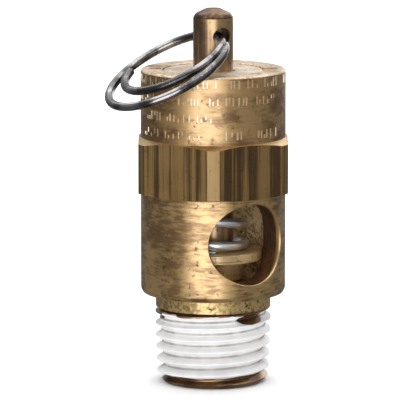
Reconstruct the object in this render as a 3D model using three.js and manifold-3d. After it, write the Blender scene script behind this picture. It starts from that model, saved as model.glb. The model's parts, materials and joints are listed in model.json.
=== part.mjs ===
// Ring-pull air safety valve with a 1/4-18 NPT inlet.
// Millimetres, +Z up. The origin is on the valve's axis at the inlet thread's end face.
// The two discharge ports lie along -Y and +Y.

import * as THREE from 'three';
import { mergeVertices } from 'three/addons/utils/BufferGeometryUtils.js';
import Module from 'manifold-3d';

const wasm = await Module();
wasm.setup();

// ---------------------------------------------------------------- driving dimensions

// Heights above the thread's end face.
const threadLength = 9.0;
const neckLength = 1.7;
const barrelLength = 11.9;
const hexLength = 6.55;
const capLength = 7.95;

// Body, turned from hex bar.
const hexAcrossFlats = 17.46;
const skinCut = 0.23;
const hexTurn = THREE.MathUtils.degToRad(-2);
const hexCornerCut = 0.38;
const hexTopSlope = 0.36;
const hexBottomSlope = 0.28;
const neckRadius = 6.76;
const barrelFoot = 0.5;
const capEdgeBreak = 0.22;
const chamberRadius = 5.9;
const inletRadius = 3.6;
const orificeRadius = 2.0;
const orificeLength = 2.6;
const seatLipWidth = 0.22;
const seatLipRoot = 0.42;
const seatLipHeight = 1.0;
const chamberFloorRise = 0.95;

// Discharge ports.
const portRadius = 4.75;
const portRise = 6.65;

// Tapered pipe thread, 18 to the inch on a 1 in 16 taper.
const threadPitch = 25.4 / 18;
const threadEndRadius = 6.52;
const threadTaper = 1 / 32;
const threadDepth = 0.98;
const threadCrestWidth = 0.16;
const threadRootWidth = 0.12;
const threadRootOverlap = 0.1;
const threadEndChamfer = 0.75;
const sealantGap = 0.05;
const sealantFill = 0.5;
const sealantMargin = 0.9;

// Stem.
const stemRadius = 2.35;
const stemRise = 7.1;
const stemCrownHeight = 1.05;
const stemCrownFlat = 0.85;
const stemShoulderRound = 0.3;
const stemHeadStep = 0.6;
const stemHeadHeight = 0.65;
const eyeRadius = 1.1;
const eyeDrop = 3.2;
const eyeTurn = THREE.MathUtils.degToRad(-93.5);

// Disc and its seal.
const guideClearance = 0.1;
const flangeThickness = 1.15;
const bossHeight = 2.35;
const bossWall = 0.4;
const bossFlare = 0.4;
const registerHeight = 0.45;
const headClearance = 0.15;
const sealThickness = 0.8;
const retainerWidth = 0.45;
const retainerThickness = 0.35;

// Spring, washer and adjusting plug.
const wireDiameter = 1.1;
const springClearance = 0.85;
const activeTurns = 5.4;
const closedPitch = 1.1;
const endGrind = 0.35;
const springStartTurn = THREE.MathUtils.degToRad(-117);
const washerThickness = 0.8;
const washerMargin = 0.6;
const plugRadius = 5.95;
const plugLength = 3.3;
const plugRecess = 0.14;
const stakeRadius = 0.75;
const stakeDepth = 0.6;
const stakeTurns = [-32, 148].map(THREE.MathUtils.degToRad);

// Pull ring: a loose spiral of wire through the stem's eye.
const ringWire = 1.0;
const ringInnerTurn = 6.2;
const ringOuterTurn = 7.77;
const ringRestGap = 0.06;
const ringInnerSweep = THREE.MathUtils.degToRad(240);
const ringOuterSweep = THREE.MathUtils.degToRad(334);
const ringGrowth = [-0.3, 4.2];
const ringSag = 0.55;
const ringBow = 0.15;

// Fits and facets.
const fit = 0.05;
const runningFit = 0.08;
const roundFacets = 48;
const smallFacets = 24;
const threadStepsPerTurn = 20;
const springStepsPerTurn = 16;
const ringSteps = 84;
const wireSides = 8;

// ---------------------------------------------------------------- places worked out from them

const barrelRadius = hexAcrossFlats / 2 - skinCut;
const shoulderZ = threadLength + neckLength;
const hexBottomZ = shoulderZ + barrelLength;
const hexTopZ = hexBottomZ + hexLength;
const capTopZ = hexTopZ + capLength;
const portZ = shoulderZ + portRise;
const floorZ = shoulderZ + chamberFloorRise;
const seatZ = floorZ + seatLipHeight;
const stemTopZ = capTopZ + stemRise;
const eyeZ = stemTopZ - eyeDrop;

const sealBottomZ = seatZ + fit;
const sealTopZ = sealBottomZ + sealThickness;
const retainerTopZ = sealBottomZ - fit;
const bossTipZ = retainerTopZ - retainerThickness;
const flangeBottomZ = bossTipZ + bossHeight;
const flangeTopZ = flangeBottomZ + flangeThickness;
const headBottomZ = sealTopZ + fit;
const headTopZ = headBottomZ + stemHeadHeight;
const stemHeadRadius = stemRadius + stemHeadStep;
const pocketRadius = stemHeadRadius + headClearance;
const guideRadius = chamberRadius - guideClearance;

const plugTopZ = capTopZ - plugRecess;
const plugBottomZ = plugTopZ - plugLength;
const washerTopZ = plugBottomZ - fit;
const washerBottomZ = washerTopZ - washerThickness;
const springBottomZ = flangeTopZ + fit;
const springTopZ = washerBottomZ - fit;
const springTurns = activeTurns + 2;
const springInnerRadius = stemRadius + springClearance;
const springMeanRadius = springInnerRadius + wireDiameter / 2;
const springOuterRadius = springInnerRadius + wireDiameter;

// ---------------------------------------------------------------- solids

// A BufferGeometry as a manifold solid, turned inside out where its faces point in.
function solid(geometry) {
  const bare = new THREE.BufferGeometry();
  bare.setAttribute('position', geometry.getAttribute('position').clone());
  if (geometry.index) bare.setIndex(geometry.index.clone());
  const merged = mergeVertices(bare, 1e-5);
  const place = merged.getAttribute('position').array;
  const corners = merged.index.array;
  const triangles = [];
  for (let i = 0; i < corners.length; i += 3) {
    const [a, b, c] = corners.slice(i, i + 3);
    if (a !== b && b !== c && c !== a) triangles.push(a, b, c);
  }
  if (signedVolume(place, triangles) < 0) triangles.reverse();
  return new wasm.Manifold(new wasm.Mesh({
    numProp: 3,
    vertProperties: new Float32Array(place),
    triVerts: new Uint32Array(triangles),
  }));
}

function signedVolume(place, triangles) {
  const [a, b, c] = [new THREE.Vector3(), new THREE.Vector3(), new THREE.Vector3()];
  let volume = 0;
  for (let i = 0; i < triangles.length; i += 3) {
    a.fromArray(place, 3 * triangles[i]);
    b.fromArray(place, 3 * triangles[i + 1]);
    c.fromArray(place, 3 * triangles[i + 2]);
    volume += a.dot(b.cross(c)) / 6;
  }
  return volume;
}

// A manifold solid as a geometry with flat shaded faces.
function geometryOf(body) {
  const mesh = body.getMesh();
  const geometry = new THREE.BufferGeometry();
  geometry.setAttribute('position', new THREE.BufferAttribute(mesh.vertProperties, 3));
  geometry.setIndex(new THREE.BufferAttribute(mesh.triVerts, 1));
  geometry.computeVertexNormals();
  return geometry;
}

// A turned solid: the outline is a list of [radius, height] going once round the section.
function turned(outline, facets = roundFacets) {
  const points = outline.map(([radius, height]) => new THREE.Vector2(radius, height));
  const closed = points[0].x > 0 || points.at(-1).x > 0;
  if (closed) points.push(points[0].clone());
  return solid(new THREE.LatheGeometry(points, facets).rotateX(Math.PI / 2));
}

function rod(radius, fromZ, toZ, facets = smallFacets) {
  return turned([[0, fromZ], [radius, fromZ], [radius, toZ], [0, toZ]], facets);
}

function washer(outerRadius, innerRadius, fromZ, toZ, facets = roundFacets) {
  return turned([
    [innerRadius, fromZ], [outerRadius, fromZ], [outerRadius, toZ], [innerRadius, toZ],
  ], facets);
}

// A cylinder along a horizontal direction that passes through the valve's axis.
function crossRod(radius, halfLength, height, turn, facets = smallFacets) {
  const bar = new THREE.CylinderGeometry(radius, radius, 2 * halfLength, facets);
  bar.rotateZ(Math.PI / 2).rotateZ(turn).translate(0, 0, height);
  return solid(bar);
}

// Wire or strip: a closed section, as [x, y] corners, swept along a curve.
function swept(section, path, steps) {
  const shape = new THREE.Shape(section.map(([x, y]) => new THREE.Vector2(x, y)));
  return solid(new THREE.ExtrudeGeometry(shape, { steps, extrudePath: path }));
}

function roundSection(diameter) {
  return Array.from({ length: wireSides }, (_, i) => {
    const angle = (2 * Math.PI * (i + 0.5)) / wireSides;
    return [Math.cos(angle) * diameter / 2, Math.sin(angle) * diameter / 2];
  });
}

// ---------------------------------------------------------------- curves

// A helix about Z whose section keeps its x axis radial and its y axis along Z.
class Helix extends THREE.Curve {
  constructor(turns, radiusAt, heightAt, startAngle = 0) {
    super();
    Object.assign(this, { turns, radiusAt, heightAt, startAngle });
  }

  getPoint(t, target = new THREE.Vector3()) {
    const angle = this.startAngle + 2 * Math.PI * this.turns * t;
    const radius = this.radiusAt(t);
    return target.set(radius * Math.cos(angle), radius * Math.sin(angle), this.heightAt(t));
  }

  getSpacedPoints(steps) {
    return this.getPoints(steps);
  }

  computeFrenetFrames(steps) {
    const frames = { tangents: [], normals: [], binormals: [] };
    for (let i = 0; i <= steps; i += 1) {
      const angle = this.startAngle + (2 * Math.PI * this.turns * i) / steps;
      frames.tangents.push(new THREE.Vector3(-Math.sin(angle), Math.cos(angle), 0));
      frames.normals.push(new THREE.Vector3(Math.cos(angle), Math.sin(angle), 0));
      frames.binormals.push(new THREE.Vector3(0, 0, 1));
    }
    return frames;
  }
}

// The pull ring's centre line, in a plane that droops from the stem's eye.
// It starts in the inner turn, passes through the eye and goes on round the outer turn.
class RingSpiral extends THREE.Curve {
  constructor(droop) {
    super();
    const away = new THREE.Vector3(Math.sin(eyeTurn), -Math.cos(eyeTurn), 0);
    this.along = new THREE.Vector3(Math.cos(eyeTurn), Math.sin(eyeTurn), 0);
    this.out = away.multiplyScalar(Math.cos(droop)).setZ(-Math.sin(droop));
    this.down = new THREE.Vector3().crossVectors(this.along, this.out);
  }

  getPoint(t, target = new THREE.Vector3()) {
    const sweep = THREE.MathUtils.lerp(-ringInnerSweep, ringOuterSweep, t);
    const grow = THREE.MathUtils.smoothstep(sweep, ringGrowth[0], ringGrowth[1]);
    const radius = THREE.MathUtils.lerp(ringInnerTurn, ringOuterTurn, grow);
    const sag = ringSag * THREE.MathUtils.smoothstep(sweep, 0, ringOuterSweep);
    return target.set(0, 0, eyeZ)
      .addScaledVector(this.out, radius * (1 - Math.cos(sweep)) - ringBow)
      .addScaledVector(this.along, -radius * Math.sin(sweep))
      .addScaledVector(this.down, sag);
  }
}

// How far a point lies outside the cap; negative for a point in it.
function distanceFromCap(point) {
  const beyond = Math.hypot(point.x, point.y) - barrelRadius;
  const above = point.z - capTopZ;
  if (above > 0) return Math.hypot(Math.max(beyond, 0), above);
  return Math.max(beyond, above);
}

function rimClearance(droop) {
  const distances = new RingSpiral(droop).getPoints(ringSteps).map(distanceFromCap);
  return Math.min(...distances) - ringWire / 2;
}

// The ring hangs from the eye until its wire rests on the cap's rim.
function restingDroop() {
  let [clear, fouled] = [0, Math.PI / 2];
  while (fouled - clear > 1e-5) {
    const droop = (clear + fouled) / 2;
    if (rimClearance(droop) > ringRestGap) clear = droop;
    else fouled = droop;
  }
  return clear;
}

// ---------------------------------------------------------------- valve body

// Everything above the thread, with the chamber and the seat in it.
function bodyTurning() {
  const orificeBottomZ = seatZ - orificeLength;
  const plugBoreRadius = plugRadius + fit;
  return turned([
    [inletRadius, threadLength],
    [neckRadius, threadLength],
    [neckRadius, shoulderZ],
    [barrelRadius - barrelFoot / 2, shoulderZ],
    [barrelRadius, shoulderZ + barrelFoot],
    [barrelRadius, capTopZ - capEdgeBreak],
    [barrelRadius - capEdgeBreak, capTopZ],
    [plugBoreRadius, capTopZ],
    [plugBoreRadius, washerBottomZ],
    [chamberRadius, washerBottomZ],
    [chamberRadius, floorZ],
    [orificeRadius + seatLipRoot, floorZ],
    [orificeRadius + seatLipWidth, seatZ],
    [orificeRadius, seatZ],
    [orificeRadius, orificeBottomZ],
    [inletRadius, orificeBottomZ - (inletRadius - orificeRadius) / 2],
  ]);
}

function hexBand() {
  const cornerRadius = hexAcrossFlats / 2 / Math.cos(Math.PI / 6);
  const hex = new THREE.CylinderGeometry(cornerRadius, cornerRadius, hexLength, 6);
  hex.rotateX(Math.PI / 2).rotateZ(hexTurn + Math.PI / 6).translate(0, 0, hexBottomZ + hexLength / 2);
  const turnedCorner = cornerRadius - hexCornerCut;
  const overhang = turnedCorner - barrelRadius;
  const chamfered = turned([
    [0, hexBottomZ],
    [barrelRadius, hexBottomZ],
    [turnedCorner, hexBottomZ + hexBottomSlope * overhang],
    [turnedCorner, hexTopZ - hexTopSlope * overhang],
    [barrelRadius, hexTopZ],
    [0, hexTopZ],
  ]);
  return solid(hex).intersect(chamfered).subtract(rod(barrelRadius - fit, hexBottomZ - 1, hexTopZ + 1));
}

function threadRootRadius(height) {
  return threadEndRadius - threadDepth + threadTaper * height;
}

// The tapered inlet shank: its core, and the thread's ridge cut back at the end chamfer.
function threadedShank() {
  const core = turned([
    [0, 0],
    [threadRootRadius(0), 0],
    [threadRootRadius(threadLength), threadLength],
    [threadRootRadius(threadLength), threadLength + fit],
    [0, threadLength + fit],
  ], threadStepsPerTurn);
  const turns = Math.ceil(threadLength / threadPitch) + 0.5;
  const height = (t) => (turns * t - 0.5) * threadPitch;
  const rootHalf = (threadPitch - threadRootWidth) / 2;
  const section = [
    [-threadRootOverlap, -rootHalf], [threadDepth, -threadCrestWidth / 2],
    [threadDepth, threadCrestWidth / 2], [-threadRootOverlap, rootHalf],
  ];
  const path = new Helix(turns, (t) => threadRootRadius(height(t)), height);
  const ridge = swept(section, path, Math.round(turns * threadStepsPerTurn));
  const bore = rod(inletRadius, -1, threadLength + 2 * fit);
  return core.add(ridge).intersect(threadEnvelope()).subtract(bore);
}

// The space that the shank may fill: it only trims the end chamfer and the neck's side.
function threadEnvelope() {
  return turned([
    [0, 0],
    [threadEndRadius - threadEndChamfer, 0],
    [neckRadius + fit, threadEndChamfer + neckRadius + fit - threadEndRadius],
    [neckRadius + fit, threadLength + fit],
    [0, threadLength + fit],
  ], threadStepsPerTurn);
}

// Punch marks that lock the plug, in the rim beside it.
function stakeMarks() {
  return stakeTurns.map((turn) => {
    const punch = new THREE.ConeGeometry(stakeRadius, 2 * stakeDepth, wireSides);
    punch.rotateX(-Math.PI / 2).translate(plugRadius + stakeRadius + 2 * fit, 0, capTopZ);
    return solid(punch.rotateZ(turn));
  });
}

function valveBody() {
  const ports = crossRod(portRadius, barrelRadius + 1, portZ, Math.PI / 2, roundFacets);
  let body = bodyTurning().add(hexBand()).subtract(ports).add(threadedShank());
  for (const mark of stakeMarks()) body = body.subtract(mark);
  return body;
}

// The sealant lies in the thread's groove as one helical strip.
function threadSealant() {
  const slope = (threadPitch - threadRootWidth - threadCrestWidth) / 2 / threadDepth;
  const flankGap = sealantGap * Math.hypot(1, slope);
  const halfWidth = (rise) => threadRootWidth / 2 + slope * rise - flankGap;
  const bottom = 2 * sealantGap;
  const top = bottom + sealantFill;
  const section = [
    [bottom, -halfWidth(bottom)], [top, -halfWidth(top)], [top, halfWidth(top)], [bottom, halfWidth(bottom)],
  ];
  const firstZ = sealantMargin;
  const length = threadLength - 2 * sealantMargin;
  const turns = length / threadPitch;
  const height = (t) => firstZ + length * t;
  const startAngle = (2 * Math.PI * firstZ) / threadPitch;
  const path = new Helix(turns, (t) => threadRootRadius(height(t)), height, startAngle);
  return swept(section, path, Math.round(turns * threadStepsPerTurn));
}

// ---------------------------------------------------------------- plug, washer and spring

function adjustingPlug() {
  const chamfer = 0.25;
  return turned([
    [stemRadius + runningFit, plugBottomZ],
    [plugRadius - chamfer, plugBottomZ],
    [plugRadius, plugBottomZ + chamfer],
    [plugRadius, plugTopZ - chamfer],
    [plugRadius - chamfer, plugTopZ],
    [stemRadius + runningFit, plugTopZ],
  ]);
}

function springWasher() {
  return washer(springOuterRadius + washerMargin, stemRadius + 2 * runningFit, washerBottomZ, washerTopZ);
}

// Height of the spring's wire along its length: one closed turn at each end, even pitch between.
function springHeight(t) {
  const turn = t * springTurns;
  const [firstZ, lastZ] = [springBottomZ - endGrind, springTopZ + endGrind];
  const activeRise = lastZ - firstZ - 2 * closedPitch;
  if (turn < 1) return firstZ + turn * closedPitch;
  if (turn > 1 + activeTurns) return lastZ - (springTurns - turn) * closedPitch;
  return firstZ + closedPitch + (activeRise * (turn - 1)) / activeTurns;
}

// A left-hand spring: a right-hand coil mirrored. Its closed ends are ground flat where it stands.
function spring() {
  const path = new Helix(springTurns, () => springMeanRadius, springHeight, -springStartTurn);
  const coil = swept(roundSection(wireDiameter), path, Math.round(springTurns * springStepsPerTurn));
  return coil.intersect(rod(springOuterRadius + 1, springBottomZ, springTopZ)).mirror([0, 1, 0]);
}

// ---------------------------------------------------------------- disc

function discHolder() {
  const stemHole = stemRadius + runningFit;
  const registerRadius = springInnerRadius - runningFit;
  const bossTipRadius = pocketRadius + bossWall;
  return turned([
    [pocketRadius, bossTipZ],
    [bossTipRadius, bossTipZ],
    [bossTipRadius + bossFlare, flangeBottomZ],
    [guideRadius, flangeBottomZ],
    [guideRadius, flangeTopZ],
    [registerRadius, flangeTopZ],
    [registerRadius, flangeTopZ + registerHeight],
    [stemHole, flangeTopZ + registerHeight],
    [stemHole, headTopZ + fit],
    [pocketRadius, headTopZ + fit],
  ]);
}

function seatSeal() {
  return rod(pocketRadius - fit, sealBottomZ, sealTopZ, roundFacets);
}

function sealRetainer() {
  const outerRadius = pocketRadius - fit;
  return washer(outerRadius, outerRadius - retainerWidth, bossTipZ, retainerTopZ);
}

// ---------------------------------------------------------------- stem and pull ring

// The crown's bevel, with its shoulder eased by a second, steeper bevel.
function stemCrown() {
  return [
    [stemRadius, stemTopZ - stemCrownHeight],
    [stemRadius - stemShoulderRound, stemTopZ - stemCrownHeight + 1.5 * stemShoulderRound],
    [stemCrownFlat, stemTopZ],
  ];
}

function stem() {
  const turning = turned([
    [0, headBottomZ],
    [stemHeadRadius, headBottomZ],
    [stemHeadRadius, headTopZ],
    [stemRadius, headTopZ],
    ...stemCrown(),
    [0, stemTopZ],
  ], smallFacets);
  return turning.subtract(crossRod(eyeRadius, stemRadius + 1, eyeZ, eyeTurn));
}

function pullRing() {
  return swept(roundSection(ringWire), new RingSpiral(restingDroop()), ringSteps);
}

// ---------------------------------------------------------------- assembly

const finishes = {
  brass: { color: 0xa8895a, roughness: 0.38, metalness: 1 },
  paleBrass: { color: 0xb29c74, roughness: 0.45, metalness: 1 },
  zincWire: { color: 0xc4cedb, roughness: 0.3, metalness: 1 },
  darkWire: { color: 0x54504d, roughness: 0.3, metalness: 1 },
  steel: { color: 0x9c9a94, roughness: 0.45, metalness: 1 },
  sealant: { color: 0xecebe6, roughness: 0.7, metalness: 0 },
  rubber: { color: 0x23211f, roughness: 0.8, metalness: 0 },
};

function piece(name, body, finish) {
  const mesh = new THREE.Mesh(geometryOf(body), new THREE.MeshStandardMaterial(finishes[finish]));
  mesh.name = name;
  return mesh;
}

function group(...members) {
  return new THREE.Group().add(...members);
}

const pressureHousing = group(
  piece('valve_body', valveBody(), 'brass'),
  piece('thread_sealant', threadSealant(), 'sealant'),
  piece('adjusting_plug', adjustingPlug(), 'paleBrass'),
  piece('spring_washer', springWasher(), 'steel'),
  piece('spring', spring(), 'zincWire'),
);
const disc = group(
  piece('disc_holder', discHolder(), 'brass'),
  piece('seat_seal', seatSeal(), 'rubber'),
  piece('seal_retainer', sealRetainer(), 'brass'),
);
const testStem = group(
  piece('stem', stem(), 'brass'),
  piece('pull_ring', pullRing(), 'darkWire'),
);

export default group(pressureHousing, disc, testStem);
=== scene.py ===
"""Ring-pull pressure relief valve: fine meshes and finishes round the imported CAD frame."""

import json
import logging
import math
import random
from dataclasses import dataclass, field
from enum import Enum
from typing import Callable, Iterable, Sequence

import bpy
import numpy as np
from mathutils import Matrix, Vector, noise


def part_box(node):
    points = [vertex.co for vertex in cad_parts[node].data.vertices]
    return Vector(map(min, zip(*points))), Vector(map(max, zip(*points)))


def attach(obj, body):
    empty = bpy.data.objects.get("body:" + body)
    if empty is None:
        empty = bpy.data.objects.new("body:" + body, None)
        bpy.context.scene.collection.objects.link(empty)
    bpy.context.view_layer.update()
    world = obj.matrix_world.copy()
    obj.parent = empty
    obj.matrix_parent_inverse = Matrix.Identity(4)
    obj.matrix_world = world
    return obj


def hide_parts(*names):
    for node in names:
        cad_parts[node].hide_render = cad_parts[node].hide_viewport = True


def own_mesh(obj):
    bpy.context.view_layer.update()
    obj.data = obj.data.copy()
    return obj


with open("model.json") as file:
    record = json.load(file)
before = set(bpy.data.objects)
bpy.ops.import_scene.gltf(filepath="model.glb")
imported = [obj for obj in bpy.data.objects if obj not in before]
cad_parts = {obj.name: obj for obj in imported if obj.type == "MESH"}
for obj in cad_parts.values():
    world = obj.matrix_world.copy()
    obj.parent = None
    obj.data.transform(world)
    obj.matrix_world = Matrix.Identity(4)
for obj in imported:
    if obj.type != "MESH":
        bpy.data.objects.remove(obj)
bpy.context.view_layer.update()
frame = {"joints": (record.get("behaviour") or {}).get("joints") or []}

LOG = logging.getLogger("relief_valve")
MM = 0.001
FILM_IOR = 2.0
SMOOTH_BELOW = math.radians(24)
FLAT = 1e-9
SAME_LEVEL = 1e-6

Colour = tuple[float, float, float]
Outline = Sequence[tuple[float, float]]


# ---------------------------------------------------------------- places read from the frame


def low(node: str) -> Vector:
    """Lowest corner of a CAD node, in millimetres."""
    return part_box(node)[0] / MM


def high(node: str) -> Vector:
    """Highest corner of a CAD node, in millimetres."""
    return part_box(node)[1] / MM


# ---------------------------------------------------------------- shader graph


class Signal:
    """A number that varies over a surface, with the arithmetic that makes Math nodes."""

    def __init__(self, graph: "Graph", socket: bpy.types.NodeSocket) -> None:
        """Keeps the socket and the graph that it belongs to."""
        self.graph = graph
        self.socket = socket

    def _math(self, operation: str, *values: "Signal | float") -> "Signal":
        """Adds one Math node.

        Args:
            operation: The Math node's operation.
            values: What goes into its sockets, in order.

        Returns:
            The node's result.
        """
        made = self.graph.node("ShaderNodeMath", dict(enumerate(values)), operation=operation)
        return Signal(self.graph, made.outputs[0])

    def __add__(self, other: "Signal | float") -> "Signal":
        """Sum."""
        return self._math("ADD", self, other)

    def __radd__(self, other: float) -> "Signal":
        """Sum, reflected."""
        return self._math("ADD", other, self)

    def __sub__(self, other: "Signal | float") -> "Signal":
        """Difference."""
        return self._math("SUBTRACT", self, other)

    def __rsub__(self, other: float) -> "Signal":
        """Difference, reflected."""
        return self._math("SUBTRACT", other, self)

    def __mul__(self, other: "Signal | float") -> "Signal":
        """Product."""
        return self._math("MULTIPLY", self, other)

    def __rmul__(self, other: float) -> "Signal":
        """Product, reflected."""
        return self._math("MULTIPLY", other, self)

    def between(self, start: float, end: float) -> "Signal":
        """Goes smoothly from 0 to 1.

        Args:
            start: The value that gives 0.
            end: The value that gives 1; it may be the smaller one.

        Returns:
            The eased share.
        """
        sockets = {"Value": self, "From Min": start, "From Max": end}
        made = self.graph.node("ShaderNodeMapRange", sockets, interpolation_type="SMOOTHSTEP")
        return Signal(self.graph, made.outputs["Result"])


class Graph:
    """A node tree and the one way into it."""

    def __init__(self, tree: bpy.types.NodeTree) -> None:
        """Empties the tree."""
        self.tree = tree
        tree.nodes.clear()

    def node(self, kind: str, sockets: dict | None = None, **settings: object) -> bpy.types.Node:
        """Adds a node.

        Args:
            kind: The node's type.
            sockets: Values or links of its inputs, by name or number.
            settings: Its properties, set before the sockets.

        Returns:
            The new node.
        """
        made = self.tree.nodes.new(kind)
        for name, setting in settings.items():
            setattr(made, name, setting)
        for name, value in (sockets or {}).items():
            self.feed(made.inputs[name], value)
        return made

    def feed(self, socket: bpy.types.NodeSocket, value: object) -> None:
        """Links a socket, or sets its value.

        Args:
            socket: The input.
            value: A Signal or an output socket to link, or a plain value.
        """
        if isinstance(value, Signal):
            value = value.socket
        if isinstance(value, bpy.types.NodeSocket):
            self.tree.links.new(value, socket)
        else:
            socket.default_value = value

    def millimetres(self) -> bpy.types.NodeSocket:
        """The place on the piece, in millimetres of the row frame."""
        place = self.node("ShaderNodeTexCoord").outputs["Object"]
        return self.scaled(place, (1 / MM,) * 3)

    def scaled(self, vector: bpy.types.NodeSocket, by: Colour) -> bpy.types.NodeSocket:
        """A vector times another, component by component."""
        made = self.node("ShaderNodeVectorMath", {0: vector, 1: by}, operation="MULTIPLY")
        return made.outputs[0]

    def component(self, vector: bpy.types.NodeSocket, axis: str) -> Signal:
        """One component of a vector."""
        return Signal(self, self.node("ShaderNodeSeparateXYZ", {0: vector}).outputs[axis])

    def noise(self, vector: object, scale: float, detail: float = 3.0, seed: float = 0.0) -> Signal:
        """Soft noise.

        Args:
            vector: Where it is read.
            scale: Its scale, per millimetre.
            detail: How many finer layers it has.
            seed: Which of its kind it is.

        Returns:
            The noise, about 0.5.
        """
        sockets = {"Vector": vector, "W": seed, "Scale": scale, "Detail": detail}
        made = self.node("ShaderNodeTexNoise", sockets, noise_dimensions="4D")
        return Signal(self, made.outputs["Fac"])

    def attribute(self, name: str) -> Signal:
        """A number kept on the mesh's points."""
        made = self.node("ShaderNodeAttribute", attribute_name=name)
        return Signal(self, made.outputs["Fac"])

    def mix(self, share: Signal | float, first: object, second: object) -> bpy.types.NodeSocket:
        """Mixes two colours.

        Args:
            share: How much of the second shows.
            first: A colour or a link.
            second: A colour or a link.

        Returns:
            The mixed colour.
        """
        made = self.node("ShaderNodeMix", data_type="RGBA")
        for socket, value in ((made.inputs[0], share), (made.inputs[6], first), (made.inputs[7], second)):
            self.feed(socket, (*value, 1.0) if isinstance(value, tuple) else value)
        return made.outputs[2]

    def bump(self, height: Signal, depth: float) -> bpy.types.NodeSocket:
        """Turns a height into a normal.

        Args:
            height: The height, as a share.
            depth: What a height of 1 is, in millimetres.

        Returns:
            The normal.
        """
        return self.node("ShaderNodeBump", {"Height": height, "Distance": depth * MM}).outputs[0]

    def surface(self, **sockets: object) -> None:
        """Ends the graph in a Principled shader.

        Args:
            sockets: Its inputs, with underscores for spaces.
        """
        named = {name.replace("_", " "): value for name, value in sockets.items()}
        if isinstance(named["Base Color"], tuple):
            named["Base Color"] = (*named["Base Color"], 1.0)
        shader = self.node("ShaderNodeBsdfPrincipled", named)
        self.node("ShaderNodeOutputMaterial", {"Surface": shader.outputs[0]})


# ---------------------------------------------------------------- finishes


def new_graph(name: str) -> tuple[bpy.types.Material, Graph]:
    """Starts a material.

    Args:
        name: The material's name.

    Returns:
        The new material and its empty graph.
    """
    material = bpy.data.materials.new(name)
    material.use_nodes = True
    return material, Graph(material.node_tree)


class Grain(Enum):
    """Which way the marks on a metal surface run, as noise scales per millimetre."""

    TURNED = (0.09, 0.09, 7.0)
    WORN = (0.7, 0.7, 3.4)
    DRAWN = (4.5, 4.5, 0.07)
    ROUGH = (2.6, 2.6, 2.6)


@dataclass(frozen=True)
class Brass:
    """Brass with a grain, cloudy tarnish, specks and a thin clear film.

    Each pair of limits is the noise at which a mark starts and the noise at which it is full.
    """

    name: str
    metal: Colour
    tarnish: Colour
    grain: Grain = Grain.TURNED
    roughness: float = 0.36
    tarnish_share: float = 0.5
    grain_contrast: float = 0.35
    grain_depth: float = 0.01
    speck_share: float = 0.3
    speck_colour: Colour = (0.055, 0.026, 0.014)
    pit_depth: float = 0.01
    cloudiness: float = 0.8
    banding: float = 0.3
    metallic: float = 0.9
    film: float = 0.8
    film_roughness: float = 0.3
    seed: float = 0.0
    tarnish_edge: float = 0.12
    fleck_limits: tuple[float, float] = (0.60, 0.70)
    blot_limits: tuple[float, float] = (0.66, 0.74)
    pit_limits: tuple[float, float] = (0.55, 0.75)

    def material(self) -> bpy.types.Material:
        """Builds the finish.

        Returns:
            The finished material.
        """
        material, graph = new_graph(self.name)
        place = graph.millimetres()
        grained = graph.scaled(place, self.grain.value)
        lines = graph.noise(grained, scale=1.0, detail=3.0, seed=self.seed)
        fine = graph.noise(grained, scale=2.7, detail=2.0, seed=self.seed + 4.0)
        cloud = graph.noise(place, scale=0.32, detail=4.0, seed=self.seed + 1.0)
        fleck = graph.noise(place, scale=1.9, detail=3.0, seed=self.seed + 2.0)
        blot = graph.noise(place, scale=0.75, detail=3.0, seed=self.seed + 3.0)
        band = graph.noise(grained, scale=0.25, detail=2.0, seed=self.seed + 5.0)
        patchy = cloud * self.cloudiness + band * self.banding + lines * (2 * self.grain_contrast)
        average = 0.5 * (self.cloudiness + self.banding) + self.grain_contrast
        middle = average + 0.3 * (self.tarnish_share - 0.5)
        dark = patchy.between(middle - self.tarnish_edge, middle + self.tarnish_edge)
        colour = graph.mix(dark, self.tarnish, self.metal)
        colour = graph.mix((fine - 0.5) * self.grain_contrast + 0.1, colour, self.speck_colour)
        speck = (fleck.between(*self.fleck_limits) + blot.between(*self.blot_limits)) * self.speck_share
        colour = graph.mix(speck, colour, self.speck_colour)
        roughness = self.roughness + (cloud - 0.5) * 0.16 + speck * 0.3
        pit = fleck.between(*self.pit_limits) * (self.pit_depth / self.grain_depth)
        height = lines * 0.6 + fine * 0.4 - pit
        graph.surface(
            Base_Color=colour,
            Metallic=self.metallic,
            Roughness=roughness,
            Coat_Weight=(dark * 0.4 + 0.6) * (1.0 - speck) * self.film,
            Coat_Roughness=self.film_roughness,
            Coat_IOR=FILM_IOR,
            Normal=graph.bump(height, self.grain_depth),
        )
        return material


@dataclass(frozen=True)
class Wire:
    """Drawn wire: plated or tempered, in patches of clean metal and stain."""

    name: str
    metal: Colour
    stain: Colour
    roughness: float
    stain_share: float = 0.5
    film: float = 0.0
    seed: float = 0.0
    patches: float = 0.8

    def material(self) -> bpy.types.Material:
        """Builds the finish.

        Returns:
            The finished material.
        """
        material, graph = new_graph(self.name)
        place = graph.millimetres()
        cloud = graph.noise(place, scale=self.patches, detail=3.0, seed=self.seed)
        fleck = graph.noise(place, scale=5.0, detail=2.0, seed=self.seed + 1.0)
        stain = (cloud * 0.8 + fleck * 0.2).between(0.42, 0.56) * self.stain_share
        graph.surface(
            Base_Color=graph.mix(stain, self.metal, self.stain),
            Metallic=1.0,
            Roughness=self.roughness + (fleck - 0.5) * 0.12 + stain * 0.12,
            Coat_Weight=self.film,
            Coat_Roughness=0.2,
            Normal=graph.bump(fleck, 0.006),
        )
        return material


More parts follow.
